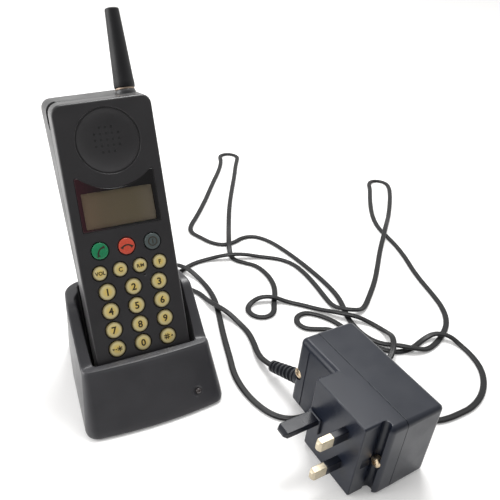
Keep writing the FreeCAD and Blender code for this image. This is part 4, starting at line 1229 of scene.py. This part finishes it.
def paint_plain_nodes():
    """Gives each node that is shown as it is its one material."""
    for name, paint in PLAIN.items():
        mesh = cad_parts[name].data
        mesh.materials.clear()
        mesh.materials.append(paint)


# ---------------------------------------------------------------- floor and light
def table_material():
    """White table: a plain diffuse surface, a little brighter to the camera and in reflections."""
    paint = bpy.data.materials.new("table top")
    paint.use_nodes = True
    nodes, links = paint.node_tree.nodes, paint.node_tree.links
    shader = nodes["Principled BSDF"]
    shader.inputs["Roughness"].default_value = 0.6
    tint(paint, ramp(paint, noise(paint, 6, 2.0), (0.885, 0.878, 0.872), (0.90, 0.895, 0.89)))
    light_path = nodes.new("ShaderNodeLightPath")
    seen = light_path.outputs["Is Camera Ray"]
    for ray in ("Is Glossy Ray", "Is Transmission Ray"):
        either = nodes.new("ShaderNodeMath")
        either.operation = "MAXIMUM"
        links.new(seen, either.inputs[0])
        links.new(light_path.outputs[ray], either.inputs[1])
        seen = either.outputs["Value"]
    glow = nodes.new("ShaderNodeMath")
    glow.operation = "MULTIPLY"
    glow.inputs[1].default_value = 0.14
    links.new(seen, glow.inputs[0])
    shader.inputs["Emission Color"].default_value = (1, 1, 1, 1)
    links.new(glow.outputs["Value"], shader.inputs["Emission Strength"])
    return paint


def make_stage():
    """Pale floor that stays near white to the camera but keeps the shadows, and soft lights that
    come from behind and above, with the side towards the viewer dimmer."""
    size = 4.0
    corners = [(-size, -size, 0), (size, -size, 0), (size, size, 0), (-size, size, 0)]
    mesh = bpy.data.meshes.new("table_top")
    mesh.from_pydata(corners, [], [(0, 1, 2, 3)])
    mesh.update()
    floor = bpy.data.objects.new("table_top", mesh)
    bpy.context.scene.collection.objects.link(floor)
    mesh.materials.append(table_material())
    world = bpy.data.worlds.new("room")
    bpy.context.scene.world = world
    world.use_nodes = True
    nodes, links = world.node_tree.nodes, world.node_tree.links
    where = nodes.new("ShaderNodeTexCoord")
    split = nodes.new("ShaderNodeSeparateXYZ")
    links.new(where.outputs["Generated"], split.inputs["Vector"])
    shade = nodes.new("ShaderNodeMapRange")
    shade.interpolation_type = "SMOOTHSTEP"
    for socket, value in (("From Min", -0.95), ("From Max", -0.1),
                          ("To Min", 0.30), ("To Max", 0.92)):
        shade.inputs[socket].default_value = value
    links.new(split.outputs["Y"], shade.inputs["Value"])
    links.new(shade.outputs["Result"], nodes["Background"].inputs["Strength"])
    nodes["Background"].inputs["Color"].default_value = (1.0, 0.995, 0.985, 1)
    lamps = (("left window", (-1.0, 0.35, 0.5), (0, 0, 0.06), 0.9, 9.0),
             ("overhead", (0.32, 0.35, 1.0), (0.03, 0, 0), 0.4, 7.0))
    for name, place, target, size, power in lamps:
        light = bpy.data.lights.new(name, "AREA")
        light.shape = "SQUARE"
        light.size = size
        light.energy = power
        lamp = bpy.data.objects.new(name, light)
        bpy.context.scene.collection.objects.link(lamp)
        away = (Vector(place) - Vector(target)).to_track_quat("Z", "Y")
        lamp.matrix_world = Matrix.Translation(place) @ away.to_matrix().to_4x4()
    bpy.context.scene.view_settings.view_transform = "Standard"


# ---------------------------------------------------------------- build
cord_sheath, cord_line = lay_cord()
make_front_cover()
make_back_shell()
make_lens()
for place in key_places():
    make_key(*place)
make_aerial()
make_battery()
make_cradle()
make_boots()
make_adapter()
make_pins()
paint_plain_nodes()
make_stage()
